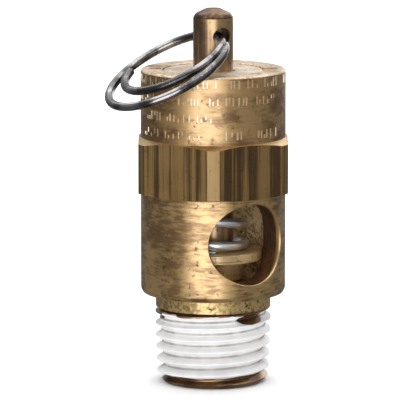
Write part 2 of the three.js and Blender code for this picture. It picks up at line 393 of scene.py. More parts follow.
@dataclass(frozen=True)
class DriedSealant:
    """White thread sealant: chalky, greyer where it is thin, with grit and painted shade in the grooves."""

    name: str
    body: Colour
    thin: Colour
    grit_and_groove_shade: Colour

    def material(self) -> bpy.types.Material:
        """Builds the finish.

        Returns:
            The finished material.
        """
        material, graph = new_graph(self.name)
        place = graph.millimetres()
        cloud = graph.noise(place, scale=0.5, detail=3.0, seed=1.0)
        grain = graph.noise(place, scale=4.2, detail=3.0, seed=2.0)
        groove = graph.attribute("groove")
        edge = graph.attribute("edge")
        colour = graph.mix(cloud.between(0.42, 0.68) * 0.45, self.body, self.thin)
        # Painted shade: the sealant's colour darkens towards the bottom of each groove.
        painted_groove_shade = groove.between(0.6, 1.0) * (cloud.between(0.3, 0.6) * 0.5 + 0.5)
        colour = graph.mix(painted_groove_shade * 0.7, colour, self.grit_and_groove_shade)
        colour = graph.mix(edge.between(0.25, 1.0) * 0.6, colour, self.grit_and_groove_shade)
        grit_and_groove_shade = grain.between(0.66, 0.74) * (groove * 0.9 + 0.12)
        graph.surface(
            Base_Color=graph.mix(grit_and_groove_shade, colour, self.grit_and_groove_shade),
            Roughness=0.48 + (cloud - 0.5) * 0.2,
            Normal=graph.bump(grain * 0.6 + cloud * 0.4, 0.05),
        )
        return material


@dataclass(frozen=True)
class Plain:
    """Rubber or steel of one colour, clouded a little."""

    name: str
    colour: Colour
    dust: Colour
    metallic: float
    roughness: float

    def material(self) -> bpy.types.Material:
        """Builds the finish.

        Returns:
            The finished material.
        """
        material, graph = new_graph(self.name)
        place = graph.millimetres()
        cloud = graph.noise(place, scale=1.1, detail=4.0)
        fine = graph.noise(place, scale=7.0, detail=2.0)
        graph.surface(
            Base_Color=graph.mix(cloud.between(0.45, 0.75) * 0.5, self.colour, self.dust),
            Metallic=self.metallic,
            Roughness=self.roughness + (fine - 0.5) * 0.15,
            Normal=graph.bump(fine, 0.008),
        )
        return material


@dataclass(frozen=True)
class Paper:
    """The studio's seamless white paper."""

    name: str = "studio_paper"
    colour: Colour = (0.9, 0.9, 0.9)
    fibre_shade: float = 0.985

    def material(self) -> bpy.types.Material:
        """Builds the finish.

        Returns:
            The finished material.
        """
        material, graph = new_graph(self.name)
        fibre = graph.noise(graph.millimetres(), scale=0.02, detail=2.0)
        shade = tuple(self.fibre_shade * channel for channel in self.colour)
        graph.surface(Base_Color=graph.mix(fibre, self.colour, shade), Roughness=0.9)
        return material


BARREL = Brass(
    "brass_barrel",
    metal=(0.63, 0.4, 0.135),
    tarnish=(0.28, 0.15, 0.045),
    grain=Grain.WORN,
    roughness=0.38,
    tarnish_share=0.45,
    grain_contrast=0.32,
    grain_depth=0.02,
    speck_share=0.6,
)
CAP = Brass(
    "brass_cap",
    metal=(0.58, 0.345, 0.115),
    tarnish=(0.26, 0.135, 0.04),
    grain=Grain.WORN,
    roughness=0.4,
    tarnish_share=0.45,
    grain_contrast=0.22,
    grain_depth=0.012,
    speck_share=0.5,
    cloudiness=0.9,
    seed=3.0,
)
HEX_SKIN = Brass(
    "brass_hex_skin",
    metal=(0.42, 0.25, 0.08),
    tarnish=(0.12, 0.066, 0.021),
    grain=Grain.DRAWN,
    grain_contrast=0.3,
    grain_depth=0.014,
    speck_share=0.4,
    cloudiness=0.15,
    banding=1.2,
    film=0.3,
    seed=5.0,
)
HEX_CORNER = Brass(
    "brass_hex_corner",
    metal=(0.3, 0.2, 0.08),
    tarnish=(0.12, 0.072, 0.027),
    grain=Grain.DRAWN,
    roughness=0.5,
    tarnish_share=0.4,
    grain_contrast=0.3,
    grain_depth=0.014,
    speck_share=0.2,
    cloudiness=0.15,
    banding=1.2,
    film=0.1,
    seed=6.0,
)
EDGE = Brass(
    "brass_fresh_edge",
    metal=(0.6, 0.4, 0.17),
    tarnish=(0.42, 0.26, 0.1),
    roughness=0.38,
    tarnish_share=0.3,
    grain_contrast=0.1,
    grain_depth=0.004,
    film=0.3,
    seed=7.0,
)
RIM = Brass(
    "brass_faced_rim",
    metal=(0.7, 0.57, 0.43),
    tarnish=(0.42, 0.31, 0.19),
    grain=Grain.ROUGH,
    roughness=0.5,
    grain_contrast=0.4,
    grain_depth=0.02,
    speck_share=0.7,
    film=0.2,
    seed=9.0,
)
NECK = Brass(
    "brass_rough_neck",
    metal=(0.8, 0.58, 0.24),
    tarnish=(0.4, 0.25, 0.085),
    grain=Grain.ROUGH,
    roughness=0.42,
    tarnish_share=0.35,
    grain_contrast=0.5,
    grain_depth=0.05,
    speck_share=0.95,
    pit_depth=0.05,
    film=0.4,
    seed=11.0,
)
THREAD = Brass(
    "brass_thread",
    metal=(0.4, 0.23, 0.1),
    tarnish=(0.16, 0.08, 0.04),
    roughness=0.33,
    grain_contrast=0.4,
    grain_depth=0.012,
    speck_share=0.5,
    film=0.4,
    seed=13.0,
)
BORE = Brass(
    "brass_bore",
    metal=(0.9, 0.66, 0.32),
    tarnish=(0.4, 0.24, 0.1),
    grain=Grain.ROUGH,
    roughness=0.5,
    tarnish_share=0.4,
    grain_contrast=0.6,
    grain_depth=0.05,
    speck_share=0.95,
    pit_depth=0.05,
    metallic=0.6,
    film=0.2,
    seed=15.0,
)
# Dark brass with a drawn grain: painted shade inside the cross holes and in the punch marks.
PORT_AND_STAKE_SHADE = Brass(
    "brass_port_and_stake_shade",
    metal=(0.26, 0.13, 0.07),
    tarnish=(0.13, 0.065, 0.035),
    grain=Grain.DRAWN,
    roughness=0.45,
    grain_contrast=0.3,
    grain_depth=0.004,
    film=0.1,
    seed=17.0,
)
MARK = Brass(
    "brass_struck_mark",
    metal=(0.85, 0.7, 0.48),
    tarnish=(0.65, 0.48, 0.28),
    grain=Grain.ROUGH,
    roughness=0.3,
    tarnish_share=0.2,
    grain_contrast=0.2,
    grain_depth=0.005,
    speck_share=0.1,
    seed=19.0,
)
PLUG = Brass(
    "brass_plug",
    metal=(0.8, 0.69, 0.57),
    tarnish=(0.56, 0.45, 0.34),
    grain=Grain.ROUGH,
    roughness=0.5,
    grain_contrast=0.4,
    grain_depth=0.02,
    speck_share=0.45,
    film=0.2,
    seed=21.0,
)
STEM = Brass(
    "brass_stem",
    metal=(0.46, 0.29, 0.115),
    tarnish=(0.16, 0.085, 0.038),
    grain=Grain.DRAWN,
    roughness=0.34,
    grain_contrast=0.2,
    grain_depth=0.008,
    speck_share=0.7,
    banding=0.6,
    film=0.6,
    seed=23.0,
)
CROWN = Brass(
    "brass_crown",
    metal=(0.15, 0.075, 0.033),
    tarnish=(0.055, 0.028, 0.014),
    grain=Grain.ROUGH,
    grain_contrast=0.4,
    speck_share=0.5,
    metallic=1.0,
    film=0.2,
    seed=25.0,
)
DISC = Brass(
    "brass_disc",
    metal=(0.8, 0.58, 0.28),
    tarnish=(0.45, 0.28, 0.12),
    tarnish_share=0.4,
    grain_contrast=0.3,
    speck_share=0.5,
    metallic=0.65,
    film=0.4,
    seed=27.0,
)
ZINC = Wire(
    "zinc_plate",
    metal=(0.95, 0.98, 1.0),
    stain=(0.6, 0.66, 0.8),
    roughness=0.36,
    stain_share=0.3,
    film=0.9,
    seed=1.0,
)
TEMPERED = Wire(
    "tempered_ring_wire",
    metal=(0.3, 0.285, 0.28),
    stain=(0.022, 0.02, 0.019),
    roughness=0.15,
    stain_share=0.93,
    film=0.6,
    seed=5.0,
    patches=0.3,
)
SEALANT = DriedSealant(
    "dried_sealant",
    body=(0.76, 0.755, 0.75),
    thin=(0.56, 0.56, 0.575),
    # Dark brown for the grit specks and for the painted shade in the grooves.
    grit_and_groove_shade=(0.15, 0.1, 0.07),
)
STEEL = Plain(
    "plain_steel",
    colour=(0.36, 0.35, 0.34),
    dust=(0.2, 0.18, 0.16),
    metallic=1.0,
    roughness=0.35,
)
RUBBER = Plain(
    "black_elastomer",
    colour=(0.02, 0.019, 0.018),
    dust=(0.05, 0.046, 0.04),
    metallic=0.0,
    roughness=0.6,
)


# ---------------------------------------------------------------- shapes


@dataclass
class Shape:
    """A closed surface being made, in millimetres."""

    points: np.ndarray
    faces: list[tuple[int, ...]]
    values: dict[str, np.ndarray] = field(default_factory=dict)

    def moved(self, change: Callable[[np.ndarray], np.ndarray]) -> "Shape":
        """The same shape with its points changed."""
        return Shape(change(self.points), self.faces, self.values)

    def joined(self, other: "Shape") -> "Shape":
        """Puts another shape beside this one.

        Args:
            other: The shape to add; neither keeps its point values.

        Returns:
            Both in one mesh.
        """
        step = len(self.points)
        faces = self.faces + [tuple(corner + step for corner in face) for face in other.faces]
        return Shape(np.vstack([self.points, other.points]), faces)

    def mesh(self, name: str) -> bpy.types.Mesh:
        """The shape as a Blender mesh in metres.

        Args:
            name: The mesh's name.

        Returns:
            The new mesh, its faces pointing out.
        """
        made = bpy.data.meshes.new(name)
        made.from_pydata((self.points * MM).tolist(), [], self.faces)
        for key, numbers in self.values.items():
            layer = made.attributes.new(key, "FLOAT", "POINT")
            layer.data.foreach_set("value", numbers.astype(np.float32))
        made.validate()
        if signed_volume(made) < 0:
            made.flip_normals()
        return made


def signed_volume(mesh: bpy.types.Mesh) -> float:
    """Volume inside a closed mesh.

    Args:
        mesh: The mesh.

    Returns:
        Its volume, negative where its faces point in.
    """
    mesh.calc_loop_triangles()
    corners = np.zeros(len(mesh.vertices) * 3)
    mesh.vertices.foreach_get("co", corners)
    index = np.zeros(len(mesh.loop_triangles) * 3, int)
    mesh.loop_triangles.foreach_get("vertices", index)
    a, b, c = corners.reshape(-1, 3)[index].reshape(-1, 3, 3).transpose(1, 0, 2)
    return float(np.einsum("ij,ij->i", a, np.cross(b, c)).sum() / 6)


def eased(outline: Outline, ease: float, steps: int = 5) -> list[tuple[float, float]]:
    """An outline with its corners rounded.

    Args:
        outline: Radius and height pairs going once round the section.
        ease: How far from the corner the round starts, in millimetres.
        steps: How many straight pieces make a round.

    Returns:
        The eased outline; corners on the axis stay as they are.
    """
    made = []
    for i, (radius, height) in enumerate(outline):
        if radius <= 0:
            made.append((radius, height))
            continue
        corner = np.array((radius, height))
        before = np.array(outline[i - 1]) - corner
        after = np.array(outline[(i + 1) % len(outline)]) - corner
        reach = [min(ease, 0.4 * np.linalg.norm(side)) / np.linalg.norm(side) for side in (before, after)]
        start, end = corner + before * reach[0], corner + after * reach[1]
        for share in np.linspace(0, 1, steps + 1):
            near = (1 - share) ** 2 * start + 2 * share * (1 - share) * corner + share ** 2 * end
            made.append((float(near[0]), float(near[1])))
    return made


def turned(outline: Outline, facets: int = 128) -> Shape:
    """A solid of revolution about the valve's axis.

    Args:
        outline: Radius and height pairs going once round the section.
        facets: How many flats stand for the round.

    Returns:
        The closed shape.
    """
    turns = np.linspace(0, 2 * math.pi, facets, endpoint=False)
    points: list[tuple[float, float, float]] = []
    rows: list[list[int]] = []
    for radius, height in outline:
        start = len(points)
        if radius <= 0:
            points.append((0.0, 0.0, height))
            rows.append([start] * facets)
        else:
            points.extend((radius * math.cos(turn), radius * math.sin(turn), height) for turn in turns)
            rows.append(list(range(start, start + facets)))
    faces = []
    on_axis = outline[0][0] <= 0 and outline[-1][0] <= 0
    for i in range(len(rows) - (1 if on_axis else 0)):
        first, second = rows[i], rows[(i + 1) % len(rows)]
        for j in range(facets):
            k = (j + 1) % facets
            ring = (first[j], first[k], second[k], second[j])
            face = tuple(dict.fromkeys(ring))
            if len(face) > 2:
                faces.append(face)
    return Shape(np.array(points), faces)


def prism(corners: Sequence[tuple[float, float]], bottom: float, top: float) -> Shape:
    """A flat-sided solid standing between two heights.

    Args:
        corners: The section's corners, in order.
        bottom: Its lower height.
        top: Its upper height.

    Returns:
        The closed shape.
    """
    count = len(corners)
    points = [(x, y, z) for z in (bottom, top) for x, y in corners]
    faces = [tuple(range(count))[::-1], tuple(range(count, 2 * count))]
    faces += [(i, (i + 1) % count, count + (i + 1) % count, count + i) for i in range(count)]
    return Shape(np.array(points), faces)


def cross_rod(radius: float, reach: float, height: float, turn: float, facets: int = 96) -> Shape:
    """A rod lying across the valve's axis.

    Args:
        radius: The rod's radius.
        reach: Half its length.
        height: The height of its centre line.
        turn: The direction of its centre line, about the axis.
        facets: How many flats stand for the round.

    Returns:
        The closed shape.
    """
    bar = turned([(0, -reach), (radius, -reach), (radius, reach), (0, reach)], facets)

    def laid(points: np.ndarray) -> np.ndarray:
        """Lays the rod down, turns it and lifts it.

        Args:
            points: The upright rod's points.

        Returns:
            The points in place.
        """
        x, y, z = points.T
        c, s = math.cos(turn), math.sin(turn)
        return np.stack([z * c - y * s, z * s + y * c, x + height], axis=1)

    return bar.moved(laid)


@dataclass(frozen=True)
class HoleMouth:
    """The broken edge where a cross hole comes out through a round wall."""

    wall_radius: float
    hole_radius: float
    side_width: float
    end_width: float
    height: float
    turn: float
    overshoot: float = 0.45
    inset: float = 0.04
    facets: int = 96

    def cutter(self) -> Shape:
        """Shapes the broken edge: widest beside the hole, narrowest above and below it.

        Returns:
            The solid that is taken away.
        """
        angles = np.linspace(0, 2 * math.pi, self.facets, endpoint=False)
        width = self.end_width + (self.side_width - self.end_width) * np.cos(angles) ** 2
        side = self.hole_radius * np.cos(angles)
        depth = np.sqrt(self.wall_radius ** 2 - side ** 2)
        rings = [(self.hole_radius - self.inset, depth - width - self.inset)]
        for bend in np.radians((0, 22.5, 45, 67.5, 90)):
            out, back = width * (1 - math.cos(bend)), width * (1 - math.sin(bend))
            rings.append((self.hole_radius + out, depth - back))
        rings.append((self.hole_radius + width + self.overshoot, depth + self.overshoot))
        c, s = math.cos(self.turn), math.sin(self.turn)

        def on_axis(out: float) -> np.ndarray:
            """A point on the hole's centre line."""
            return np.array([(out * c, out * s, self.height)])

        points = [on_axis(self.wall_radius - 2.5 * self.side_width - 0.8)]
        for radius, out in rings:
            across = radius * np.cos(angles)
            rise = self.height + radius * np.sin(angles)
            points.append(np.stack([out * c - across * s, out * s + across * c, rise], axis=1))
        points.append(on_axis(self.wall_radius + 2.5))
        count, levels = self.facets, len(rings)
        faces = []
        last = 1 + levels * count
        for j in range(count):
            k = (j + 1) % count
            faces.append((0, 1 + k, 1 + j))
            for ring in range(levels - 1):
                base = 1 + ring * count
                faces.append((base + j, base + k, base + count + k, base + count + j))
            faces.append((last - count + j, last - count + k, last))
        return Shape(np.vstack(points), faces)


# The cut at a wire's end: each section's share of the radius, and of the ease from the end.
WIRE_END = ((0.82, 0.0), (0.95, 0.35), (1.0, 1.0))
WIRE_END_EASE = 0.16


def tube(path: np.ndarray, radius: float | np.ndarray, sides: int, up: np.ndarray) -> Shape:
    """Wire along a path, with a slightly rounded cut at each end.

    Args:
        path: The centre line's points.
        radius: The wire's radius, or one for each point.
        sides: How many flats stand for its round.
        up: A direction, or one for each point, that the section's frame keeps to.

    Returns:
        The closed shape.
    """
    along = np.gradient(path, axis=0)
    along /= np.linalg.norm(along, axis=1, keepdims=True)
    level = np.cross(np.broadcast_to(up, path.shape), along)
    level /= np.linalg.norm(level, axis=1, keepdims=True)
    rise = np.cross(along, level)
    radii = np.broadcast_to(radius, len(path)).astype(float)
    turns = np.linspace(0, 2 * math.pi, sides, endpoint=False)
    rings = []

    def ring(i: int, shrink: float, shift: float) -> None:
        """Adds one section.

        Args:
            i: The point of the path that it lies at.
            shrink: Its share of the wire's radius.
            shift: How far it is moved along the wire.
        """
        for turn in turns:
            offset = level[i] * math.cos(turn) + rise[i] * math.sin(turn)
            rings.append(path[i] + along[i] * shift + offset * radii[i] * shrink)

    ease = WIRE_END_EASE * float(radii[0])
    for shrink, share in WIRE_END:
        ring(0, shrink, share * ease)
    for i in range(1, len(path) - 1):
        ring(i, 1.0, 0.0)
    for shrink, share in reversed(WIRE_END):
        ring(len(path) - 1, shrink, -share * ease)
    count = len(rings) // sides
    faces = [tuple(range(sides))[::-1], tuple(range((count - 1) * sides, count * sides))]
    for i in range(count - 1):
        for j in range(sides):
            k = (j + 1) % sides
            faces.append((i * sides + j, i * sides + k, (i + 1) * sides + k, (i + 1) * sides + j))
    return Shape(np.array(rings), faces)


class Cut(Enum):
    """What a second solid does to the first."""

    ADD = "UNION"
    TAKE = "DIFFERENCE"
    KEEP = "INTERSECT"


def worked(name: str, base: Shape, steps: Iterable[tuple[Cut, Shape]]) -> bpy.types.Mesh:
    """Builds a solid up and cuts it, one step after another.

    Args:
        name: The mesh's name.
        base: The solid to start from.
        steps: What is added, taken away or kept, in order.

    Returns:
        The finished mesh.
    """
    scene = bpy.context.scene
    work = bpy.data.objects.new(name + "_work", base.mesh(name))
    scene.collection.objects.link(work)
    for cut, shape in steps:
        tool = bpy.data.objects.new(name + "_tool", shape.mesh(name + "_tool"))
        scene.collection.objects.link(tool)
        change = work.modifiers.new("cut", "BOOLEAN")
        change.operation = cut.value
        change.solver = "MANIFOLD"
        change.object = tool
        bpy.context.view_layer.update()
        done = bpy.data.meshes.new_from_object(work.evaluated_get(bpy.context.evaluated_depsgraph_get()))
        work.modifiers.clear()
        if not done.polygons:
            raise RuntimeError(f"{name}: a cut left nothing")
        work.data = done
        bpy.data.objects.remove(tool)
    mesh = work.data
    bpy.data.objects.remove(work)
    mesh.name = name
    return mesh


def face_table(mesh: bpy.types.Mesh) -> tuple[np.ndarray, np.ndarray]:
    """Lists a mesh's faces.

    Args:
        mesh: The mesh, in metres.

    Returns:
        Their centres, in millimetres, and their normals.
    """
    count = len(mesh.polygons)
    centres, normals = np.zeros(count * 3), np.zeros(count * 3)
    mesh.polygons.foreach_get("center", centres)
    mesh.polygons.foreach_get("normal", normals)
    return centres.reshape(-1, 3) / MM, normals.reshape(-1, 3)


def shown(name: str, mesh: bpy.types.Mesh, body: str, node: str, finishes: Sequence,
          zones: np.ndarray | None = None) -> bpy.types.Object:
    """Makes a piece of a mesh: finishes it and puts it in a CAD node's place.

    Args:
        name: The piece's name.
        mesh: Its mesh, in metres.
        body: The CAD body that it rides on.
        node: The CAD node that it stands for.
        finishes: Its finishes.
        zones: For each face, which finish it has.

    Returns:
        The piece.
    """
    mesh.materials.clear()
    for finish in finishes:
        made = bpy.data.materials.get(finish.name)
        mesh.materials.append(made or finish.material())
    if zones is not None:
        mesh.polygons.foreach_set("material_index", zones.astype(np.int32))
    mesh.polygons.foreach_set("use_smooth", np.ones(len(mesh.polygons), bool))
    mesh.set_sharp_from_angle(angle=SMOOTH_BELOW)
    mesh.update()
    piece = bpy.data.objects.new(name, mesh)
    bpy.context.scene.collection.objects.link(piece)
    weigh = piece.modifiers.new("even_shading", "WEIGHTED_NORMAL")
    weigh.keep_sharp = True
    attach(piece, body)
    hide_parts(node)
    LOG.info("%s: %d faces, stands for %s on body %s", name, len(mesh.polygons), node, body)
    return piece


# ---------------------------------------------------------------- thread and its sealant


@dataclass(frozen=True)
class PipeThread:
    """The tapered inlet thread as a height above its root, all round and all the way up."""

    length: float = 9.0
    pitch: float = 25.4 / 18
    end_radius: float = 6.52
    taper: float = 1 / 32
    depth: float = 0.98
    crest_width: float = 0.16
    root_width: float = 0.12
    end_chamfer: float = 0.75
    widest: float = 6.81
    flank_steps: tuple[float, ...] = (0.18, 0.27, 0.37, 0.47, 0.56)
    turn_steps: int = 216

    def offsets(self) -> np.ndarray:
        """Places the rows of points across one pitch, closest where the section bends.

        Returns:
            Their heights, from crest to crest.
        """
        crest, root = self.crest_width / 2, self.root_width / 2
        half = self.pitch / 2
        up = [0.0, crest * 0.7, crest, crest * 1.6, *self.flank_steps, half - root * 1.8, half - root]
        down = [self.pitch - value for value in reversed(up[1:])]
        return np.array([*up, half, *down])

    def root(self, height: np.ndarray) -> np.ndarray:
        """Radius at the bottom of the groove."""
        return self.end_radius - self.depth + self.taper * height

    def ridge(self, turn: np.ndarray, height: np.ndarray) -> np.ndarray:
        """How far the thread stands above its root.

        Args:
            turn: The angle about the axis.
            height: The height above the end face.

        Returns:
            The rise, in millimetres.
        """
        phase = height / self.pitch - turn / (2 * math.pi) + 0.5
        away = np.abs(phase - np.round(phase)) * self.pitch
        start, end = self.crest_width / 2, (self.pitch - self.root_width) / 2
        share = np.clip((end - away) / (end - start), 0, 1)
        return self.depth * share

    def radius(self, turn: np.ndarray, height: np.ndarray) -> np.ndarray:
        """Radius of the finished thread, with its end chamfer.

        Args:
            turn: The angle about the axis.
            height: The height above the end face.

        Returns:
            The radius, in millimetres.
        """
        limit = np.minimum(self.end_radius - self.end_chamfer + height, self.widest)
        return np.minimum(self.root(height) + self.ridge(turn, height), limit)

    def wrapped(self, outer: Callable, inner: Callable, bottom: float, top: float,
                values: dict[str, Callable] | None = None) -> Shape:
        """A sleeve whose rows of points follow the helix.

        Args:
            outer: Radius of its outside from turn and height.
            inner: Radius of its inside from turn and height.
            bottom: Its lower end.
            top: Its upper end.
            values: Numbers to keep on the points, from turn and height.

        Returns:
            The closed shape.
        """
        offsets = self.offsets()[:-1]
        per_turn = len(offsets)
        first = math.floor(bottom / self.pitch) - 2
        pitches = math.ceil((top - bottom) / self.pitch) + 4
        lead = (first + np.arange(pitches)[:, None]) * self.pitch + offsets[None, :]
        lead = lead.ravel() - self.pitch / 2
        turns = np.linspace(0, 2 * math.pi, self.turn_steps, endpoint=False)
        turn, start = np.meshgrid(turns, lead, indexing="ij")
        height = np.clip(start + turn / (2 * math.pi) * self.pitch, bottom, top)
        points, keep = [], {key: [] for key in values or {}}
        for radius_of in (outer, inner):
            radius = radius_of(turn, height)
            skin_points = np.stack([radius * np.cos(turn), radius * np.sin(turn), height], -1)
            points.append(skin_points.reshape(-1, 3))
            for key, value_of in (values or {}).items():
                keep[key].append(value_of(turn, height).ravel())
        rows = len(lead)
        skin = self.turn_steps * rows
        faces = []
        for j in range(self.turn_steps):
            wrap = j == self.turn_steps - 1
            after = 0 if wrap else j + 1
            shift = per_turn if wrap else 0
            for k in range(rows - 1 - shift):
                a, b = j * rows + k, j * rows + k + 1
                c, d = after * rows + k + 1 + shift, after * rows + k + shift
                heights = [height.flat[index] for index in (a, b, c, d)]
                if max(heights) - min(heights) < FLAT:
                    continue
                faces.append((a, d, c, b))
                faces.append((skin + a, skin + b, skin + c, skin + d))
        joined = np.vstack(points)
        index, points_kept, faces = merged(joined, faces)
        shape = Shape(points_kept, faces)
        shape.values = {key: np.concatenate(numbers)[index] for key, numbers in keep.items()}
        return self._capped(shape, bottom, top)

    @staticmethod
    def _capped(shape: Shape, bottom: float, top: float) -> Shape:
        """Closes the sleeve's two ends between its outside and inside rims.

        Args:
            shape: The open sleeve.
            bottom: Height of its lower end.
            top: Height of its upper end.

        Returns:
            The closed shape.
        """
        edges: dict[tuple[int, int], int] = {}
        for face in shape.faces:
            for a, b in zip(face, face[1:] + face[:1]):
                edges[(a, b)] = edges.get((a, b), 0) + 1
        loose = [edge for edge in edges if (edge[1], edge[0]) not in edges]
        follow = dict((b, a) for a, b in loose)
        rings = []
        while follow:
            start = next(iter(follow))
            ring = [start]
            spot = follow.pop(start)
            while spot != start:
                ring.append(spot)
                spot = follow.pop(spot)
            rings.append(ring)
        for level in (bottom, top):
            pair = [ring for ring in rings if abs(shape.points[ring[0]][2] - level) < SAME_LEVEL]
            pair.sort(key=lambda ring: -float(np.hypot(*shape.points[ring[0]][:2])))
            shape.faces.extend(bridged(shape.points, pair[0], pair[1]))
        return shape


def merged(points: np.ndarray, faces: list[tuple[int, ...]]) -> tuple[np.ndarray, np.ndarray, list]:
    """Merges points that coincide and drops what the faces don't use.

    Args:
        points: All the points.
        faces: The faces on them.

    Returns:
        Which point each kept one was, the kept points, and the faces on those.
    """
    used = np.unique(np.concatenate([np.array(face) for face in faces]))
    keys = np.round(points[used] * 1e6).astype(np.int64)
    _, first, inverse = np.unique(keys, axis=0, return_index=True, return_inverse=True)
    number = dict(zip(used.tolist(), inverse.ravel().tolist()))
    made = []
    for face in faces:
        corners = tuple(dict.fromkeys(number[corner] for corner in face))
        if len(corners) > 2:
            made.append(corners)
    return used[first], points[used[first]], made


def bridged(points: np.ndarray, outer: list[int], inner: list[int]) -> list[tuple[int, ...]]:
    """Faces between two rims that lie round the axis at one height.

    Args:
        points: The points of the mesh.
        outer: The outside rim, in the order that its new faces take.
        inner: The inside rim, in the order that its new faces take.

    Returns:
        The triangles that join them.
    """
    def unrolled(ring: list[int]) -> tuple[list[int], np.ndarray, bool]:
        """Lists a rim from its smallest angle upwards and back to its start.

        Args:
            ring: The rim's points, in order.

        Returns:
            Its points, their angles, and whether the given order was already upwards.
        """
        angles = np.arctan2(points[ring, 1], points[ring, 0]) % (2 * math.pi)
        start = int(np.argmin(angles))
        ordered, angles = ring[start:] + ring[:start], np.roll(angles, -start)
        rising = not (len(angles) > 2 and angles[1] > angles[-1])
        if not rising:
            ordered = [ordered[0]] + ordered[1:][::-1]
            angles = np.concatenate([angles[:1], angles[1:][::-1]])
        return ordered + ordered[:1], np.append(angles, angles[0] + 2 * math.pi), rising

    a, ta, forward = unrolled(outer)
    b, tb, _ = unrolled(inner[::-1])
    i = j = 0
    faces = []
    while i < len(a) - 1 or j < len(b) - 1:
        step_a = j == len(b) - 1 or (i < len(a) - 1 and ta[i + 1] <= tb[j + 1])
        if step_a:
            face = (a[i], a[i + 1], b[j])
            i += 1
        else:
            face = (a[i], b[j + 1], b[j])
            j += 1
        faces.append(face if forward else face[::-1])
    return faces


@dataclass(frozen=True)
class SealantCoat:
    """The dried sealant on the thread: full in the grooves, thin on the crests, ragged at its ends."""

    thread: PipeThread = PipeThread()
    bottom: float = 0.55
    top: float = 8.95
    first_edge: float = 1.15
    last_edge: float = 8.8
    ragged: float = 0.3
    crest_film: float = 0.06
    lower_fill: float = 0.12
    upper_fill: float = 0.5
    blend: float = 0.12
    depth_below: float = 0.25
    fill_start: float = 1.5
    fill_reach: float = 6.0
    fill_wave: float = 0.07
    film_wave: float = 0.02
    edge_width: float = 0.16
    edge_sink: float = 0.1
    edge_mark: float = 0.14

    # Bare places: angle in degrees, height, half width along the round, half height.
    bare: tuple[tuple[float, float, float, float], ...] = (
        (-76.0, 8.15, 2.0, 0.5),
        (-152.0, 8.8, 1.0, 0.35),
        (20.0, 8.2, 1.8, 0.5),
        (105.0, 1.5, 1.6, 0.35),
        (160.0, 8.3, 1.5, 0.5),
    )

    def cover(self, turn: np.ndarray, height: np.ndarray) -> np.ndarray:
        """How far inside the coat a place is: above 0 where there is sealant.

        Args:
            turn: The angle about the axis.
            height: The height above the end face.

        Returns:
            About a distance, in millimetres.
        """
        slow = ripple(turn, height, scale=0.55, seed=3.0)
        quick = ripple(turn, height, scale=1.7, seed=9.0)
        wave = slow * self.ragged + quick * 0.4 * self.ragged
        inside = np.minimum(height - self.first_edge, self.last_edge - height) + wave
        for degrees, level, wide, tall in self.bare:
            away = (turn - math.radians(degrees) + math.pi) % (2 * math.pi) - math.pi
            rise = height - level - away / (2 * math.pi) * self.thread.pitch
            reach = np.hypot(away * self.thread.end_radius / wide, rise / tall)
            inside = np.minimum(inside, (reach - 1) * tall + 0.25 * wave)
        return inside

    def outside(self, turn: np.ndarray, height: np.ndarray) -> np.ndarray:
        """Radius of the coat's surface; under the brass where it is bare.

        Args:
            turn: The angle about the axis.
            height: The height above the end face.

        Returns:
            The radius, in millimetres.
        """
        thread = self.thread
        share = np.clip((height - self.fill_start) / self.fill_reach, 0, 1)
        level = thread.root(height) + self.lower_fill + (self.upper_fill - self.lower_fill) * share
        level = level + ripple(turn, height, scale=0.4, seed=17.0) * self.fill_wave
        film = self.crest_film + ripple(turn, height, scale=1.1, seed=23.0) * self.film_wave
        metal = thread.radius(turn, height)
        both = np.maximum(metal + film, level)
        gap = np.clip(1 - np.abs(metal + film - level) / self.blend, 0, None)
        full = both + gap ** 2 * self.blend / 4
        edge = np.sqrt(np.clip(self.cover(turn, height) / self.edge_width, 0, 1))
        return metal - self.edge_sink + (full - metal + self.edge_sink) * edge

    def inside(self, turn: np.ndarray, height: np.ndarray) -> np.ndarray:
        """Radius of the coat's hidden side, under the thread's surface."""
        return self.thread.radius(turn, height) - self.depth_below

    def groove(self, turn: np.ndarray, height: np.ndarray) -> np.ndarray:
        """How deep in the groove a place is, from 0 to 1."""
        return np.clip(1 - self.thread.ridge(turn, height) / (0.6 * self.thread.depth), 0, 1)

    def edge(self, turn: np.ndarray, height: np.ndarray) -> np.ndarray:
        """How near the coat's edge a place is, from 0 to 1."""
        return np.clip(1 - self.cover(turn, height) / self.edge_mark, 0, 1)

    def shape(self) -> Shape:
        """The coat as a closed sleeve."""
        # The groove value drives the painted shade in the sealant's grooves.
        values = {"groove": self.groove, "edge": self.edge}
        return self.thread.wrapped(self.outside, self.inside, self.bottom, self.top, values)


def ripple(turn: np.ndarray, height: np.ndarray, scale: float, seed: float) -> np.ndarray:
    """Smooth noise from -1 to 1 over a round wall.

    Args:
        turn: The angle about the axis.
        height: The height.
        scale: Its scale, per millimetre.
        seed: Which of its kind it is.

    Returns:
        The noise at each place.
    """
    radius = 6.4
    places = np.stack([radius * np.cos(turn), radius * np.sin(turn), height], -1).reshape(-1, 3)
    made = [noise.noise(place) for place in (places * scale + seed).tolist()]
    return np.array(made).reshape(turn.shape)


# ---------------------------------------------------------------- valve body


class Zone(Enum):
    """The finishes of the valve body, by where the face is."""

    BARREL = 0
    CAP = 1
    HEX = 2
    EDGE = 3
    RIM = 4
    NECK = 5
    THREAD = 6
    BORE = 7
    PORT = 8
    MARK = 9
    CORNER = 10


